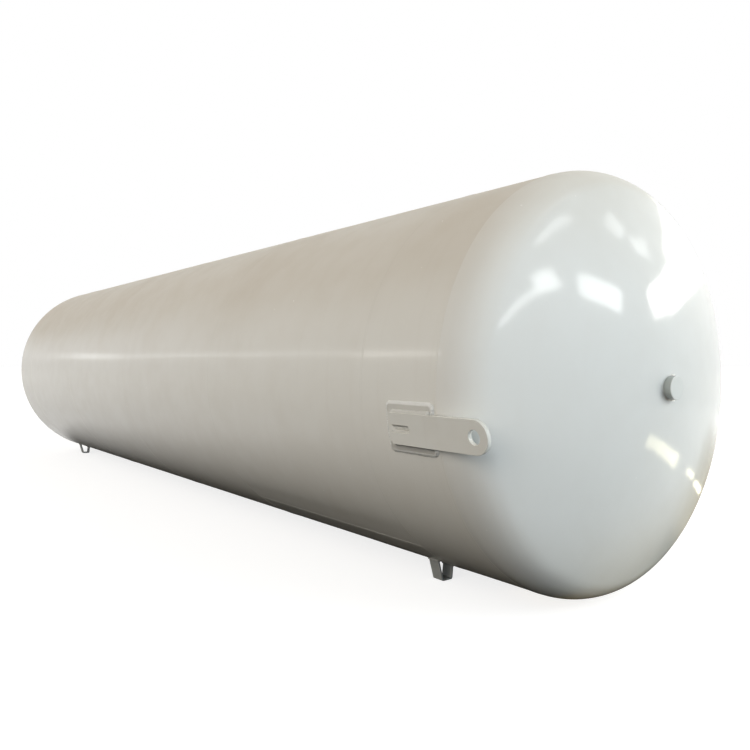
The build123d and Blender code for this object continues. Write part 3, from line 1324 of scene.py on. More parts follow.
    def screw(self, up: int) -> Surface:
        """A hexagon-head screw: a round shank, then rings of a hexagon that the head's chamfer cone cuts.

        The hexagon's radius is flats / 2 / cos of the angle from the nearest flat, and the cone widens by
        the tangent of the chamfer's angle below the top.

        Args:
            up: 1 for the screw on top and -1 for the one below.

        Returns:
            The closed screw.
        """
        angle = full_turn(self.screw_facets)[None, :]
        hexagon = self.flats / 2 / np.cos(np.mod(angle + pi / 6, pi / 3) - pi / 6)
        top = self.screw_head
        head = np.concatenate([[0.0, self.screw_lip], top * np.array(self.screw_rows)])[:, None]
        cone = self.cone_share * self.flats + (top - head) * tan(radians(self.chamfer))
        radii = np.minimum(hexagon, cone)
        radii[0] = np.minimum(radii[0], self.foot_share * self.flats)
        below = np.array([[-self.shank_depth], [self.shank_bevel - self.shank_depth], [0.0]])
        stem = np.array([[self.shank_point], [self.shank], [self.shank]])
        levels = np.concatenate([below, head, [[top]]])
        last = np.full((1, angle.size), self.top_share * self.flats)
        radii = np.concatenate([np.broadcast_to(stem, (3, angle.size)), radii, last])
        x = self.screw_x + radii * np.cos(angle)
        y = radii * np.sin(angle)
        z = AXIS.height + up * (self.cap_radius + np.broadcast_to(levels, radii.shape))
        return Surface.lofted(np.stack([x, y, z], axis=-1))

    def build(self) -> None:
        """Adds the vent's pieces."""
        paint = VENT_ENAMEL.material()
        add_piece("vent_pipe_neck", self.neck(), paint, ["vent_neck"])
        add_piece("vent_neck_fillet", self.neck_weld(), paint, [])
        add_piece("vent_turned_cap", self.cap(), paint, ["vent_cap"])
        steel = SCREW_PLATE.material()
        for label, up in {"upper": 1, "lower": -1}.items():
            node = f"vent_{label}_screw"
            add_piece(f"vent_{label}_hex_screw", self.screw(up), steel, [node], crease=25.0)


@dataclass
class LiftingLug:
    """The lifting lug: a pad rolled to the shell, a flame-cut plate with fork and eye, and their welds.

    Attributes:
        angle: Angle of the lug's middle line round the tank, in degrees.
        pad_middle: Place of the pad's middle along X.
        pad_half_length: Half its size along X.
        pad_half_height: Half its size round the shell.
        pad_thickness: Its thickness.
        pad_corner: Radius of its corners.
        pad_edge: Rounding of its edge.
        pad_sink: How far its underside goes into the shell.
        pad_shares: Sizes of the rings over its flats, as shares.
        pad_rim: Size of the ring just inside its edge, as a share.
        pad_wave: Depth of the waves on its face.
        pad_slant: How far those waves lean.
        dirt_and_shadow_under: How far the dirt and painted shadow beside the plate reach in under it.
        darkening_reach: How far it takes to come up fully.
        dirt_and_shadow_above: Its share above the plate.
        dirt_and_shadow_fade: How much of it is lost towards the pad's lower edge.
        dirt_and_shadow_fade_reach: How far that takes.
        plate_left: Place of the plate's forked end along X.
        plate_half_width: Half the plate's width.
        plate_thickness: Its thickness.
        plate_edge: Rounding of its front edge.
        back_edge: Bevel of its back edge.
        flat_inset: How far inside the bevel and the rounding the flats start.
        eye_x: Place of the eye along X.
        eye_radius: Radius of the eye.
        slot_half_width: Half the width of the slot between the fork's prongs.
        slot_centre: Place of the slot's round end along X.
        prong_tip: Radius of a prong's outer corner.
        prong_lip: Radius of its inner corner.
        edge_step: Spacing of the points along the plate's edge.
        cut_seed: Seed of the flame cuts' unevenness.
        cut_gain: How much of its range that uses.
        edge_cut: Most waves of it round the plate, and its depth.
        eye_cut: Most waves of it round the eye, and its depth.
        tolerance: Smallest distance in the triangulated flats.
        weld_end: Where the plate's weld ends along X.
        weld_leg: Leg of the plate's weld.
        pad_leg: Leg of the pad's weld.
    """

    angle: float = -9.3
    pad_middle: float = 4.414
    pad_half_length: float = 0.170
    pad_half_height: float = 0.122
    pad_thickness: float = 0.012
    pad_corner: float = 0.018
    pad_edge: float = 0.002
    pad_sink: float = 0.001
    pad_shares: tuple[float, ...] = (0.02, 0.25, 0.5, 0.75)
    pad_rim: float = 0.985
    pad_wave: float = 0.0003
    pad_slant: float = 0.7
    dirt_and_shadow_under: float = 0.010
    darkening_reach: float = 0.012
    dirt_and_shadow_above: float = 0.38
    dirt_and_shadow_fade: float = 0.35
    dirt_and_shadow_fade_reach: float = 0.036
    plate_left: float = 4.290
    plate_half_width: float = 0.086
    plate_thickness: float = 0.024
    plate_edge: float = 0.0026
    back_edge: float = 0.001
    flat_inset: float = 0.0015
    eye_x: float = 4.896
    eye_radius: float = 0.036
    slot_half_width: float = 0.019
    slot_centre: float = 4.421
    prong_tip: float = 0.008
    prong_lip: float = 0.006
    edge_step: float = 0.0025
    cut_seed: int = 71
    cut_gain: float = 0.3
    edge_cut: tuple[int, float] = (90, 0.0004)
    eye_cut: tuple[int, float] = (14, 0.0011)
    tolerance: float = 1e-7
    weld_end: float = 4.584
    weld_leg: float = 0.012
    pad_leg: float = 0.018

    def radial(self) -> Array:
        """Unit vector out of the shell at the lug."""
        return np.array([0.0, -cos(radians(self.angle)), sin(radians(self.angle))])

    def upward(self) -> Array:
        """Unit vector along the shell's curve at the lug, upwards."""
        return np.array([0.0, sin(radians(self.angle)), cos(radians(self.angle))])

    def on_plate(self, x: Array, up: Array, rise: Array) -> Array:
        """Points on the plate's plane, where rise is counted from its back face."""
        x, up, rise = np.broadcast_arrays(x, up, rise)
        out = AXIS.radius + self.pad_thickness + rise
        points = out[..., None] * self.radial() + up[..., None] * self.upward()
        return points + np.stack([x, np.zeros_like(x), np.full_like(x, AXIS.height)], axis=-1)

    def on_shell(self, x: Array, run: Array, rise: Array) -> Array:
        """Points rolled round the shell from the pad's middle."""
        return AXIS.wrapped(self.pad_middle + x, run, rise, radians(self.angle))

    def pad_outline(self, step: float) -> Array:
        """The pad's outline about its middle, with points at a spacing."""
        return rounded_rectangle(self.pad_half_length, self.pad_half_height, self.pad_corner, step)

    def pad(self) -> Surface:
        """The pad: its outline carried from the middle of the underside over the edge and across the face.

        Each row is the rounded rectangle set in by an inset and scaled by a share, at one rise. A quarter
        round makes the edge. Dirt and painted shadow ease in over the strips below and above the plate,
        most just below it.

        Returns:
            The closed pad.
        """
        outline = self.pad_outline(step=0.006)
        normals = -outward_normals(outline, True)
        turn = np.linspace(0.0, pi / 2, 6)
        insets = self.pad_edge * (1.0 - np.cos(turn))
        rises = self.pad_thickness - self.pad_edge * (1.0 - np.sin(turn))
        flat = len(self.pad_shares) + 1
        inset = np.concatenate([np.zeros(flat), insets, np.full(flat, self.pad_edge)])
        rise = np.concatenate([np.full(flat, -self.pad_sink), rises, np.full(flat, self.pad_thickness)])
        inner = np.array(self.pad_shares)
        share = np.concatenate([inner, np.ones(1 + len(turn)), [self.pad_rim], inner[::-1]])
        path = (outline[None] + normals[None] * inset[:, None, None]) * share[:, None, None]
        x, run = path[..., 0], path[..., 1]
        waves = Waviness(seed=41, count=6, most_turns=6, shortest=0.12)
        wavy = self.pad_wave * np.abs(waves.lengthwise(x + self.pad_slant * run))
        rise = rise[:, None] - np.where(rise[:, None] > 0.5 * self.pad_thickness, wavy, 0.0)
        # Dirt and painted shadow beside the plate, darkest just below it
        lower = -self.plate_half_width - run
        upper = run - self.plate_half_width
        below = ease((lower + self.dirt_and_shadow_under) / self.darkening_reach)
        below = below * (1.0 - self.dirt_and_shadow_fade * ease(lower / self.dirt_and_shadow_fade_reach))
        above = self.dirt_and_shadow_above * ease((upper + self.dirt_and_shadow_under) / self.darkening_reach)
        return Surface.lofted(self.on_shell(x, run, rise), grime=np.maximum(below, above))

    def welded_edge(self) -> Array:
        """The plate's welded edge: from the pad's end along the top, round fork and slot, and back below."""
        wide, slot, left = self.plate_half_width, self.slot_half_width, self.plate_left
        tip, lip = self.prong_tip, self.prong_lip
        pieces = [
            np.array([[self.weld_end, wide]]),
            arc((left + tip, wide - tip), tip, 90, 180, 6),
            arc((left + lip, slot + lip), lip, 180, 270, 5),
            arc((self.slot_centre, 0.0), slot, 90, -90, 24),
            arc((left + lip, -slot - lip), lip, 90, 180, 5),
            arc((left + tip, -wide + tip), tip, 180, 270, 6),
            np.array([[self.weld_end, -wide]]),
        ]
        return np.concatenate(pieces)

    def flame_cut(self, edge: Array, turns: int, depth: float) -> Array:
        """Sets a closed edge in by a flame cut's unevenness, a share of waves times the depth.

        Args:
            edge: Points, one per row, with the outward side on the right.
            turns: Most waves round the edge.
            depth: How far it is set in at most.

        Returns:
            The uneven edge.
        """
        waves = Waviness(self.cut_seed + turns, count=14, most_turns=turns)
        marks = depth * waves.share(self.cut_gain, full_turn(len(edge)))
        return edge - outward_normals(edge, True) * marks[:, None]

    def outline(self) -> Array:
        """The plate's whole edge: the welded part, then the free end round the eye."""
        free = arc((self.eye_x, 0.0), self.plate_half_width, -90, 90, 60)
        edge = evenly(np.concatenate([self.welded_edge(), free]), self.edge_step, closed=True)
        return self.flame_cut(edge, *self.edge_cut)

    def eye(self) -> Array:
        """The eye's edge, clockwise so that the plate is on its left."""
        return self.flame_cut(arc((self.eye_x, 0.0), self.eye_radius, 360, 0, 181)[:-1], *self.eye_cut)

    def plate(self) -> Surface:
        """The plate: its edge and the eye's, each carried from the back to the face, with filled flats.

        A row is an edge set in along its normals at one rise. The flats between the outer edge and the
        eye are triangulated.

        Returns:
            The closed plate.
        """
        thick, bevel, rounding = self.plate_thickness, self.back_edge, self.plate_edge
        turn = np.linspace(0.0, pi / 2, 6)
        back = [self.flat_inset + bevel, bevel, 0.0]
        front = [rounding + self.flat_inset]
        insets = np.concatenate([back, rounding * (1.0 - np.cos(turn)), front])
        rises = np.concatenate([[0.0, 0.0, bevel], thick - rounding * (1.0 - np.sin(turn)), [thick]])
        points, faces, backs, fronts, start = [], [], [], [], 0
        for loop in (self.outline(), self.eye()):
            path = loop[None] - outward_normals(loop, True)[None] * insets[:, None, None]
            index, quads = quad_grid(*path.shape[:2], start)
            faces.append(quads[:-1].reshape(-1, 4))
            points.append(self.on_plate(path[..., 0], path[..., 1], rises[:, None]).reshape(-1, 3))
            backs.append((path[0], index[0]))
            fronts.append((path[-1], index[-1]))
            start += index.size
        faces += [self.filled(backs)[:, ::-1], self.filled(fronts)]
        return Surface(np.concatenate(points), faces)

    def filled(self, loops: list[tuple[Array, Array]]) -> Array:
        """Triangles between an outer loop and the holes in it.

        Args:
            loops: Each loop's points in the plane and their numbers in the mesh, the outer one first.

        Returns:
            Triangles of mesh numbers, counter-clockwise in the plane.
        """
        flat = np.concatenate([path for path, _ in loops])
        numbers = np.concatenate([index for _, index in loops])
        starts = np.cumsum([0] + [len(path) for path, _ in loops])
        rings = [list(range(start, stop)) for start, stop in zip(starts[:-1], starts[1:])]
        rings = [rings[0]] + [hole[::-1] for hole in rings[1:]]
        corners = [Vector(point) for point in flat.tolist()]
        made = delaunay_2d_cdt(corners, [], rings, INSIDE_RINGS, self.tolerance)
        _, _, triangles, point_sources, _, owners = made
        source = np.array([sources[0] for sources in point_sources])
        solid = np.array([list(rings_round) == [0] for rings_round in owners])
        return numbers[source[np.array(triangles)[solid]]]

    def plate_weld(self) -> Surface:
        """The fillet round the plate's welded edge, down to the pad's curve."""
        path = evenly(self.welded_edge(), step=0.0028, closed=False)
        pad_radius = AXIS.radius + self.pad_thickness

        def ground(_: Array, up: Array) -> Array:
            """Rise of the pad's curve from the plate's back plane."""
            return np.sqrt(pad_radius**2 - up**2) - pad_radius

        bead = Bead(self.weld_leg, self.weld_leg, pitch=0.012, lump=0.18, seed=3)
        return bead.surface(path, self.on_plate, ground, closed=False)

    def pad_weld(self) -> Surface:
        """The fillet round the pad, on the shell."""
        bead = Bead(self.pad_leg, self.pad_thickness, pitch=0.014, bulge=0.24, seed=5)
        return bead.surface(self.pad_outline(step=0.003), self.on_shell, level_ground, closed=True)

    def build(self) -> None:
        """Adds the lug's pieces."""
        paint, weld = LUG_ENAMEL.material(), WELD_ENAMEL.material()
        add_piece("lug_rolled_pad", self.pad(), paint, ["lug_pad"])
        add_piece("lug_cut_plate", self.plate(), paint, ["lug_plate"], crease=50.0)
        add_piece("lug_plate_fillet", self.plate_weld(), weld, ["lug_weld"])
        add_piece("lug_pad_fillet", self.pad_weld(), FILLET_PAINT_AND_HIGHLIGHT.material(), [])


@dataclass
class Foot:
    """One foot: a flat strip bent to an open U, welded under the shell.

    Attributes:
        end: The end that it stands at.
        side: The flank that it stands at.
        x: Place of its middle along X.
        offset: Distance of its middle from the tank's centre plane.
        base: Width between the corners of its base.
        width: Width of the strip.
        thickness: Thickness of the strip.
        bend: Outer radius of the bends.
        outer_splay: Lean of the outer leg, in degrees.
        inner_splay: Lean of the inner leg, in degrees.
        edge: Rounding of the strip's edges.
        leg_shares: Places of the rows on a leg, as shares of its length.
        bend_rows: Rows on a bend.
        sink: How far the legs go into the shell.
        weld_leg: Leg of the root welds.
        weld_corner: Radius of the root welds' corners.
        weld_seed: Seed from which each root weld's own is counted.
    """

    end: End
    side: Side
    x: float
    offset: float = 0.455
    base: float = 0.087
    width: float = 0.088
    thickness: float = 0.012
    bend: float = 0.015
    outer_splay: float = 16.0
    inner_splay: float = 6.0
    edge: float = 0.0016
    leg_shares: tuple[float, ...] = (1.0, 0.97, 0.7, 0.4)
    bend_rows: int = 9
    sink: float = 0.002
    weld_leg: float = 0.008
    weld_corner: float = 0.002
    weld_seed: int = 80

    def section(self) -> Array:
        """The strip's section: a rounded rectangle, as depth from the outer face and place along X."""
        outline = rounded_rectangle(self.thickness / 2, self.width / 2, self.edge, step=0.0018)
        return outline + [self.thickness / 2, 0.0]

    def legs(self) -> list[tuple[Array, Array, Array, float]]:
        """The outer and the inner leg, seen along X with the outer one on the left.

        Returns:
            For each, the corner where its outer face meets the base line, its direction upwards, its
            direction inwards, and the angle by which the strip turns at the bend.
        """
        found = []
        for sign, splay in ((-1.0, self.outer_splay), (1.0, self.inner_splay)):
            corner = np.array([sign * self.base / 2, 0.0])
            lean = np.array([sign * sin(radians(splay)), cos(radians(splay))])
            inward = np.array([-sign * lean[1], sign * lean[0]])
            found.append((corner, lean, inward, pi / 2 - radians(splay)))
        return found

    def root(self, corner: Array, lean: Array) -> Array:
        """How far along a leg's direction each line from a corner reaches the shell.

        Solves the length t with |corner + t lean - centre| = radius, on its near side.

        Args:
            corner: Start points, one row each.
            lean: The leg's direction.

        Returns:
            The lengths.
        """
        rel = corner - np.array([self.offset, AXIS.height])
        along = rel @ lean
        return -along - np.sqrt(along**2 - (rel**2).sum(axis=-1) + AXIS.radius**2)

    def strip(self) -> Surface:
        """The strip: its section carried up one leg, round both bends and up the other.

        A point at depth d is the outer line's point plus d times the inward normal. On the bends the outer
        line is an arc about the bend's centre, and each leg's lines run on to the shell.

        Returns:
            The closed strip.
        """
        depth, across = self.section().T
        rows = []
        for turned, (corner, lean, inward, turn) in zip((True, False), self.legs()):
            sign = np.sign(corner[0])
            setback = self.bend * tan(turn / 2) * lean
            lines = corner + depth[:, None] * inward
            reach = (self.root(lines, lean)[:, None] + self.sink) * lean
            leg = [lines + reach * share + (1.0 - share) * setback for share in self.leg_shares]
            hub = corner + setback + self.bend * inward
            swing = np.linspace(0.0, turn, self.bend_rows)[:, None, None]
            spoke = -inward
            sweep = np.array([sign * spoke[1], -sign * spoke[0]])
            arm = (self.bend - depth)[None, :, None]
            part = [*leg, *(hub + arm * (np.cos(swing) * spoke + np.sin(swing) * sweep))]
            rows.extend(part if turned else part[::-1])
        path = np.stack(rows)
        y = self.side.value * (self.offset - path[..., 0])
        x = np.broadcast_to(self.x + across, y.shape)
        return Surface.lofted(np.stack([x, y, path[..., 1]], axis=-1))

    def root_weld(self) -> Surface:
        """The fillets round both legs' roots, as loops rolled round the shell's underside."""
        loops = []
        for number, (corner, lean, inward, _) in enumerate(self.legs()):
            middle = corner + inward * self.thickness / 2
            foot = middle + self.root(middle[None], lean)[0] * lean
            slope = atan2(self.offset - foot[0], AXIS.height - foot[1])
            tilt = atan2(-lean[0], lean[1]) - slope
            half = self.thickness / 2 / cos(tilt)
            path = rounded_rectangle(self.width / 2, half, self.weld_corner, step=0.0025)
            loops.append(self.weld_loop(path, slope, tilt, number))
        return Surface.merged(loops)

    def weld_loop(self, path: Array, slope: float, tilt: float, number: int) -> Surface:
        """One root's fillet.

        Args:
            path: The root's outline, along X and round the shell.
            slope: Angle of the root from the tank's lowest line.
            tilt: Angle between the leg and the shell's normal.
            number: 0 for the outer leg and 1 for the inner one.

        Returns:
            The closed loop.
        """
        side = self.side.value

        def place(along: Array, run: Array, rise: Array) -> Array:
            """Rolls the outline round the shell's underside, leaning with the leg."""
            angle = slope + (run - rise * tan(tilt)) / AXIS.radius
            r = AXIS.radius + rise
            y = side * r * np.sin(angle)
            z = AXIS.height - r * np.cos(angle)
            return np.stack([self.x + along, y, z], axis=-1)

        seed = self.weld_seed + 10 * number + 2 * self.end.value + side
        bead = Bead(self.weld_leg, self.weld_leg, pitch=0.009, lump=0.2, seed=seed)
        return bead.surface(path, place, level_ground, closed=True)

    def build(self, paint: bpy.types.Material, weld: bpy.types.Material) -> None:
        """Adds the strip and its root welds."""
        label = f"{self.end.name.lower()}_end_{self.side.name.lower()}"
        add_piece(f"{label}_bent_strip", self.strip(), paint, [f"{label}_foot"])
        add_piece(f"{label}_root_weld", self.root_weld(), weld, [])


def heading(azimuth: float, elevation: float) -> Point:
    """Unit vector in a direction, with azimuth round Z from +X towards +Y, both in degrees."""
    flat = cos(radians(elevation))
    return (flat * cos(radians(azimuth)), flat * sin(radians(azimuth)), sin(radians(elevation)))


@dataclass(frozen=True)
class Glow:
    """A broad lobe of soft light from far off: colour times the cosine from its direction, to a power.

    Attributes:
        azimuth: Direction round Z from +X towards +Y, in degrees.
        elevation: Height above the horizon, in degrees.
        power: How tightly the lobe is drawn in.
        colour: Colour times strength.
    """

    azimuth: float
    elevation: float
    power: float
    colour: Colour


HEAD_SPOT: Point = (5.0, -0.4, 1.75)
FLANK_LINE: Pair = (-1.24, 1.45)
COOL_WHITE: Colour = (0.96, 1.0, 1.0)
WARM_WHITE: Colour = (1.0, 0.98, 0.94)
SUN_YELLOW: Colour = (1.0, 0.95, 0.66)
FLOOR_AMBER: Colour = (1.0, 0.74, 0.34)


@dataclass(frozen=True)
class Panel:
    """A soft lamp panel, turned to face a point.

    Attributes:
        name: The lamp's name.
        place: Its middle.
        aim: The point that it faces.
        width: Its level size.
        height: Its upright size.
        radiance: Brightness of its face.
        colour: Its colour.
        roll: Turn of its width from level, in degrees.
        seen_in_gloss: Whether reflections show it.
    """

    name: str
    place: Vector
    aim: Vector
    width: float
    height: float
    radiance: float
    colour: Colour
    roll: float = 0.0
    seen_in_gloss: bool = True

    @classmethod
    def seen(
        cls,
        name: str,
        direction: Pair,
        size: Point,
        radiance: float,
        colour: Colour,
        spot: Point = HEAD_SPOT,
        distance: float = 14.0,
    ) -> "Panel":
        """A panel that a spot on the head sees in a given direction.

        Args:
            name: The lamp's name.
            direction: Azimuth and elevation of its middle, in degrees.
            size: How wide and high it looks and its roll, in degrees.
            radiance: Brightness of its face.
            colour: Its colour.
            spot: The spot on the head.
            distance: How far off it is.

        Returns:
            The panel.
        """
        aim = Vector(spot)
        place = aim + Vector(heading(*direction)) * distance
        width, height = (2.0 * distance * tan(radians(angle / 2.0)) for angle in size[:2])
        return cls(name, place, aim, width, height, radiance, colour, size[2])

    @classmethod
    def on_wall(cls, name: str, place: Point, size: Pair, radiance: float, colour: Colour) -> "Panel":
        """A panel beside the front flank, facing the line along it at its own place along X.

        Args:
            name: The lamp's name.
            place: Its middle.
            size: Its width and height.
            radiance: Brightness of its face.
            colour: Its colour.

        Returns:
            The panel.
        """
        return cls(name, Vector(place), Vector((place[0], *FLANK_LINE)), *size, radiance, colour)

    def build(self) -> None:
        """Adds the lamp."""
        lamp = bpy.data.lights.new(self.name, "AREA")
        lamp.shape = "RECTANGLE"
        lamp.size = self.width
        lamp.size_y = self.height
        lamp.color = self.colour
        lamp.energy = self.radiance * pi * self.width * self.height
        holder = bpy.data.objects.new(self.name, lamp)
        holder.location = self.place
        holder.rotation_mode = "QUATERNION"
        facing = (self.place - self.aim).to_track_quat("Z", "Y")
        holder.rotation_quaternion = facing @ Quaternion((0.0, 0.0, 1.0), radians(self.roll))
        holder.visible_camera = False
        holder.visible_glossy = self.seen_in_gloss
        bpy.context.scene.collection.objects.link(holder)


@dataclass
class Studio:
    """White floor and backdrop, soft light, lamp panels and the camera.

    Attributes:
        sky: Even light from all round.
        glows: Broad lobes of light on top of it.
        panels: Lamps that the paint reflects.
        floor_half: Half the floor's size.
        floor_drop: How far it lies below the feet.
        floor_colour: Grey of the floor where it is seen.
        floor_lift: Light that it gives off there.
        floor_bounce: Colour that it bounces light with.
        shade_tone: Colour that the painted shade glows with past the vent end and behind, in reflections.
        shade_end: How far from the middle the shade's straight part reaches along X.
        shade_squeeze: How much faster the shade fades past that.
        shade_start: Where the shade starts to fade, to the side.
        shade_stop: Where it has faded.
        back_share: How much slower it fades behind the tank.
        far_widening: How it widens in front along X.
        least_widening: Limit of that widening.
        warm_end: Stretch along X over which the shade turns warm.
        warm_back: Stretch along Y over which it does.
        camera_place: The camera's place.
        camera_azimuth: Its turn round Z, in degrees.
        camera_elevation: How far it looks down, in degrees.
        camera_lens: Its focal length in millimetres.
        camera_sensor: Its sensor's width in millimetres.
    """

    sky: Colour = (0.03, 0.03, 0.03)
    glows: tuple[Glow, ...] = (
        Glow(-80.0, 28.0, 14.0, (5.15, 4.80, 4.28)),
        Glow(27.0, 24.0, 20.0, (5.5, 6.1, 6.4)),
        Glow(-12.0, 6.0, 40.0, (2.0, 2.8, 3.6)),
        Glow(92.0, 12.0, 12.0, (2.70, 2.42, 1.60)),
        Glow(180.0, 25.0, 16.0, (3.20, 3.10, 2.95)),
    )
    panels: tuple[Panel, ...] = (
        Panel.seen("left_window", (14.9, 27.3), (9.2, 6.4, 8.0), 8.0, COOL_WHITE),
        Panel.seen("left_window_sill", (1.8, 21.0), (18.0, 2.0, 31.0), 7.0, COOL_WHITE),
        Panel.seen("middle_window", (36.1, 21.3), (15.2, 6.7, -30.0), 7.2, COOL_WHITE),
        Panel.seen("high_window_left", (58.2, 34.0), (5.9, 5.0, 13.0), 3.6, COOL_WHITE),
        Panel.seen("high_window_right", (64.6, 27.1), (7.6, 4.1, -29.0), 3.1, COOL_WHITE),
        Panel.seen("doorway", (81.5, 16.0), (47.0, 8.0, 0.0), 6.0, WARM_WHITE),
        Panel.seen("doorway_head", (92.0, 22.0), (26.0, 6.0, 8.0), 6.0, WARM_WHITE),
        Panel.seen("roof_light", (28.4, 41.6), (17.0, 2.2, 10.0), 5.0, COOL_WHITE),
        Panel.seen("roof_ridge", (35.6, 57.0), (28.0, 3.0, -22.0), 3.0, COOL_WHITE),
        Panel.seen("low_glow", (61.7, -14.5), (23.0, 4.3, -9.5), 4.3, SUN_YELLOW, (5.09, -0.02, 0.93), 2.8),
        Panel.seen(
            "low_glow_middle", (84.5, -15.3), (7.0, 1.8, -2.0), 3.8, SUN_YELLOW, (5.04, 0.38, 0.76), 2.4
        ),
        Panel.seen(
            "low_glow_end", (98.0, -14.5), (14.0, 2.0, 5.0), 3.6, SUN_YELLOW, (4.96, 0.61, 0.65), 2.2
        ),
        Panel(
            "floor_glow",
            place=Vector((4.95, 0.3, 0.01)),
            aim=Vector((4.95, 0.3, 1.0)),
            width=1.4,
            height=1.4,
            radiance=0.22,
            colour=FLOOR_AMBER,
            seen_in_gloss=False,
        ),
        Panel.on_wall("near_wall_lamp", (-6.1, -9.25, 4.0), (3.4, 0.40), 5.6, WARM_WHITE),
        Panel.on_wall("middle_wall_lamp", (-14.3, -8.4, 3.9), (13.0, 0.40), 1.9, COOL_WHITE),
        Panel.on_wall("far_wall_lamp", (-23.5, -7.4, 3.6), (5.6, 0.90), 2.0, COOL_WHITE),
    )
    floor_half: float = 150.0
    floor_drop: float = 0.001
    floor_colour: float = 0.36
    floor_lift: float = 0.80
    floor_bounce: Colour = (0.035, 0.030, 0.022)
    shade_tone: Colour = (0.50, 0.43, 0.30)
    shade_end: float = 4.6
    shade_squeeze: float = 2.0
    shade_start: float = 0.45
    shade_stop: float = 2.2
    back_share: float = 0.18
    far_widening: float = -0.1
    least_widening: float = 0.4
    warm_end: Pair = (4.7, 5.3)
    warm_back: Pair = (0.9, 1.8)
    camera_place: Point = (7.179, -3.6125, 1.415)
    camera_azimuth: float = 52.206
    camera_elevation: float = 1.143
    camera_lens: float = 34.03
    camera_sensor: float = 36.0

    def seen_rays(self, nodes: Nodes) -> tuple[Socket, Socket]:
        """Whether a ray comes straight from the camera, and whether it comes by a reflection or glass."""
        path = nodes.add("ShaderNodeLightPath", {}).outputs
        return path["Is Camera Ray"], nodes.larger(path["Is Glossy Ray"], path["Is Transmission Ray"])

    def backdrop(self) -> None:
        """Builds the world: white where it is seen, and a low sky with the broad lobes where it lights."""
        world = bpy.data.worlds.new("studio_backdrop")
        nodes = Nodes.cleared(world)
        direction = nodes.add("ShaderNodeTexCoord", {}).outputs["Generated"]
        light: object = self.sky
        for glow in self.glows:
            towards = {0: direction, 1: heading(glow.azimuth, glow.elevation)}
            cosine = nodes.add("ShaderNodeVectorMath", towards, operation="DOT_PRODUCT").outputs["Value"]
            share = nodes.math("POWER", nodes.larger(cosine, 0.0), glow.power)
            lobe = nodes.add("ShaderNodeVectorMath", {0: glow.colour, "Scale": share}, operation="SCALE")
            both = {0: light, 1: lobe.outputs[0]}
            light = nodes.add("ShaderNodeVectorMath", both, operation="ADD").outputs[0]
        lighting = nodes.add("ShaderNodeBackground", {"Color": light, "Strength": 1.0}).outputs[0]
        white = nodes.add("ShaderNodeBackground", {"Color": (1.0, 1.0, 1.0), "Strength": 1.0}).outputs[0]
        seen = nodes.larger(*self.seen_rays(nodes))
        chosen = nodes.add("ShaderNodeMixShader", {0: seen, 1: lighting, 2: white}).outputs[0]
        nodes.add("ShaderNodeOutputWorld", {"Surface": chosen})
        bpy.context.scene.world = world

    def unshaded(self, nodes: Nodes, x: Socket, y: Socket) -> Socket:
        """Share of the floor's light that the tank leaves, from 0 below it to 1 away from it.

        The distance is the root of two squares: how far past the tank's ends, times the squeeze, and how
        far beside it, with a share of its own behind and a widening in front. It is a painted shadow of the
        tank on the floor, which only reflections show.

        Args:
            nodes: The floor's nodes.
            x: Place on the floor along X.
            y: Place on the floor along Y.

        Returns:
            The share.
        """
        past_end = nodes.larger(nodes.math("SUBTRACT", nodes.math("ABSOLUTE", x), self.shade_end), 0.0)
        past_end = nodes.times(past_end, self.shade_squeeze)
        behind = nodes.times(y, self.back_share)
        widened = nodes.larger(nodes.math("MULTIPLY_ADD", x, self.far_widening, 1.0), self.least_widening)
        before = nodes.times(nodes.times(y, -1.0), widened)
        beside = nodes.larger(behind, before)
        squares = nodes.math("ADD", nodes.math("POWER", past_end, 2.0), nodes.math("POWER", beside, 2.0))
        return nodes.span(nodes.math("SQRT", squares), (self.shade_start, self.shade_stop))

    def floor_finish(self) -> bpy.types.Material:
        """Builds the floor's finish.

        Returns:
            A pale matt floor that is lifted to white where it is seen, and bounces little light back. In
            reflections it carries a painted shadow below the tank, which glows warm past the vent end and
            behind. It can't be seen from below.
        """
        made = bpy.data.materials.new("studio_floor")
        nodes = Nodes.cleared(made)
        direct, mirrored = self.seen_rays(nodes)
        x, y, _ = nodes.parts(nodes.place())
        # Painted shadow of the tank on the floor, which only reflections show
        clear = self.unshaded(nodes, x, y)
        shown = nodes.larger(direct, nodes.times(clear, mirrored))
        grey = nodes.times(shown, self.floor_colour)
        pale = nodes.add("ShaderNodeCombineColor", {0: grey, 1: grey, 2: grey}).outputs[0]
        tone = nodes.mix(nodes.larger(direct, mirrored), self.floor_bounce, pale)
        matt = nodes.add("ShaderNodeBsdfDiffuse", {"Color": tone}).outputs[0]
        lift = {"Color": (1.0, 1.0, 1.0), "Strength": nodes.times(shown, self.floor_lift)}
        lifted = nodes.add("ShaderNodeEmission", lift).outputs[0]
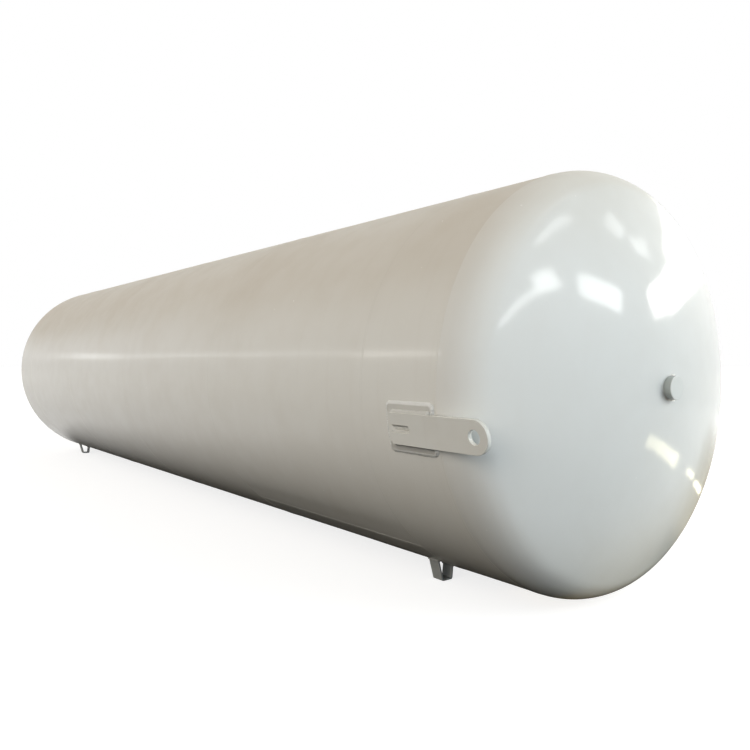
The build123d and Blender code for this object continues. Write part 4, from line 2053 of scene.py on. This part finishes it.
        # Painted warm glow in that shade past the vent end and behind, seen only in reflections
        open_floor = nodes.larger(nodes.span(x, self.warm_end), nodes.span(y, self.warm_back))
        warm = nodes.times(nodes.times(open_floor, mirrored), nodes.math("SUBTRACT", 1.0, clear))
        shade = nodes.add("ShaderNodeEmission", {"Color": self.shade_tone, "Strength": warm}).outputs[0]
        both = nodes.add("ShaderNodeAddShader", {0: matt, 1: lifted}).outputs[0]
        every = nodes.add("ShaderNodeAddShader", {0: both, 1: shade}).outputs[0]
        underside = nodes.add("ShaderNodeNewGeometry", {}).outputs["Backfacing"]
        through = nodes.add("ShaderNodeBsdfTransparent", {}).outputs[0]
        choice = {0: nodes.times(underside, direct), 1: every, 2: through}
        nodes.surface(nodes.add("ShaderNodeMixShader", choice))
        return made

    def floor(self) -> None:
        """Adds the floor, a square plane just below the feet."""
        half = self.floor_half
        mesh = bpy.data.meshes.new("studio_floor")
        corners = [(-half, -half), (half, -half), (half, half), (-half, half)]
        mesh.from_pydata([(x, y, -self.floor_drop) for x, y in corners], [], [(0, 1, 2, 3)])
        mesh.materials.append(self.floor_finish())
        plane = bpy.data.objects.new("studio_floor", mesh)
        bpy.context.scene.collection.objects.link(plane)

    def camera(self) -> None:
        """Adds the camera at the photograph's place and angle."""
        lens = bpy.data.cameras.new("photo_camera")
        lens.lens = self.camera_lens
        lens.sensor_width = self.camera_sensor
        holder = bpy.data.objects.new("photo_camera", lens)
        holder.location = self.camera_place
        holder.rotation_euler = (radians(90.0 - self.camera_elevation), 0.0, radians(self.camera_azimuth))
        bpy.context.scene.collection.objects.link(holder)
        bpy.context.scene.camera = holder

    def build(self) -> None:
        """Adds backdrop, floor, lamps and camera, and sets the plain view transform."""
        self.backdrop()
        self.floor()
        for panel in self.panels:
            panel.build()
        self.camera()
        bpy.context.scene.view_settings.view_transform = "Standard"


FOOT_PLACES = {End.VENT: 3.828, End.PLAIN: -4.172}


def main() -> None:
    """Builds the tank's pieces in order, then the studio."""
    logging.basicConfig(level=logging.INFO, format="%(name)s %(message)s")
    Shell().build()
    head_paint = HEAD_ENAMEL.material()
    vent_head = Head(End.VENT, bore=Vent.neck_bore)
    vent_head.build(head_paint)
    Head(End.PLAIN, bore=0.0).build(head_paint)
    Vent(vent_head).build()
    LiftingLug().build()
    foot_paint, foot_weld = FOOT_PAINT.material(), FOOT_WELD.material()
    for end, x in FOOT_PLACES.items():
        for side in Side:
            Foot(end, side, x).build(foot_paint, foot_weld)
    Studio().build()


if __name__ == "__main__":
    main()
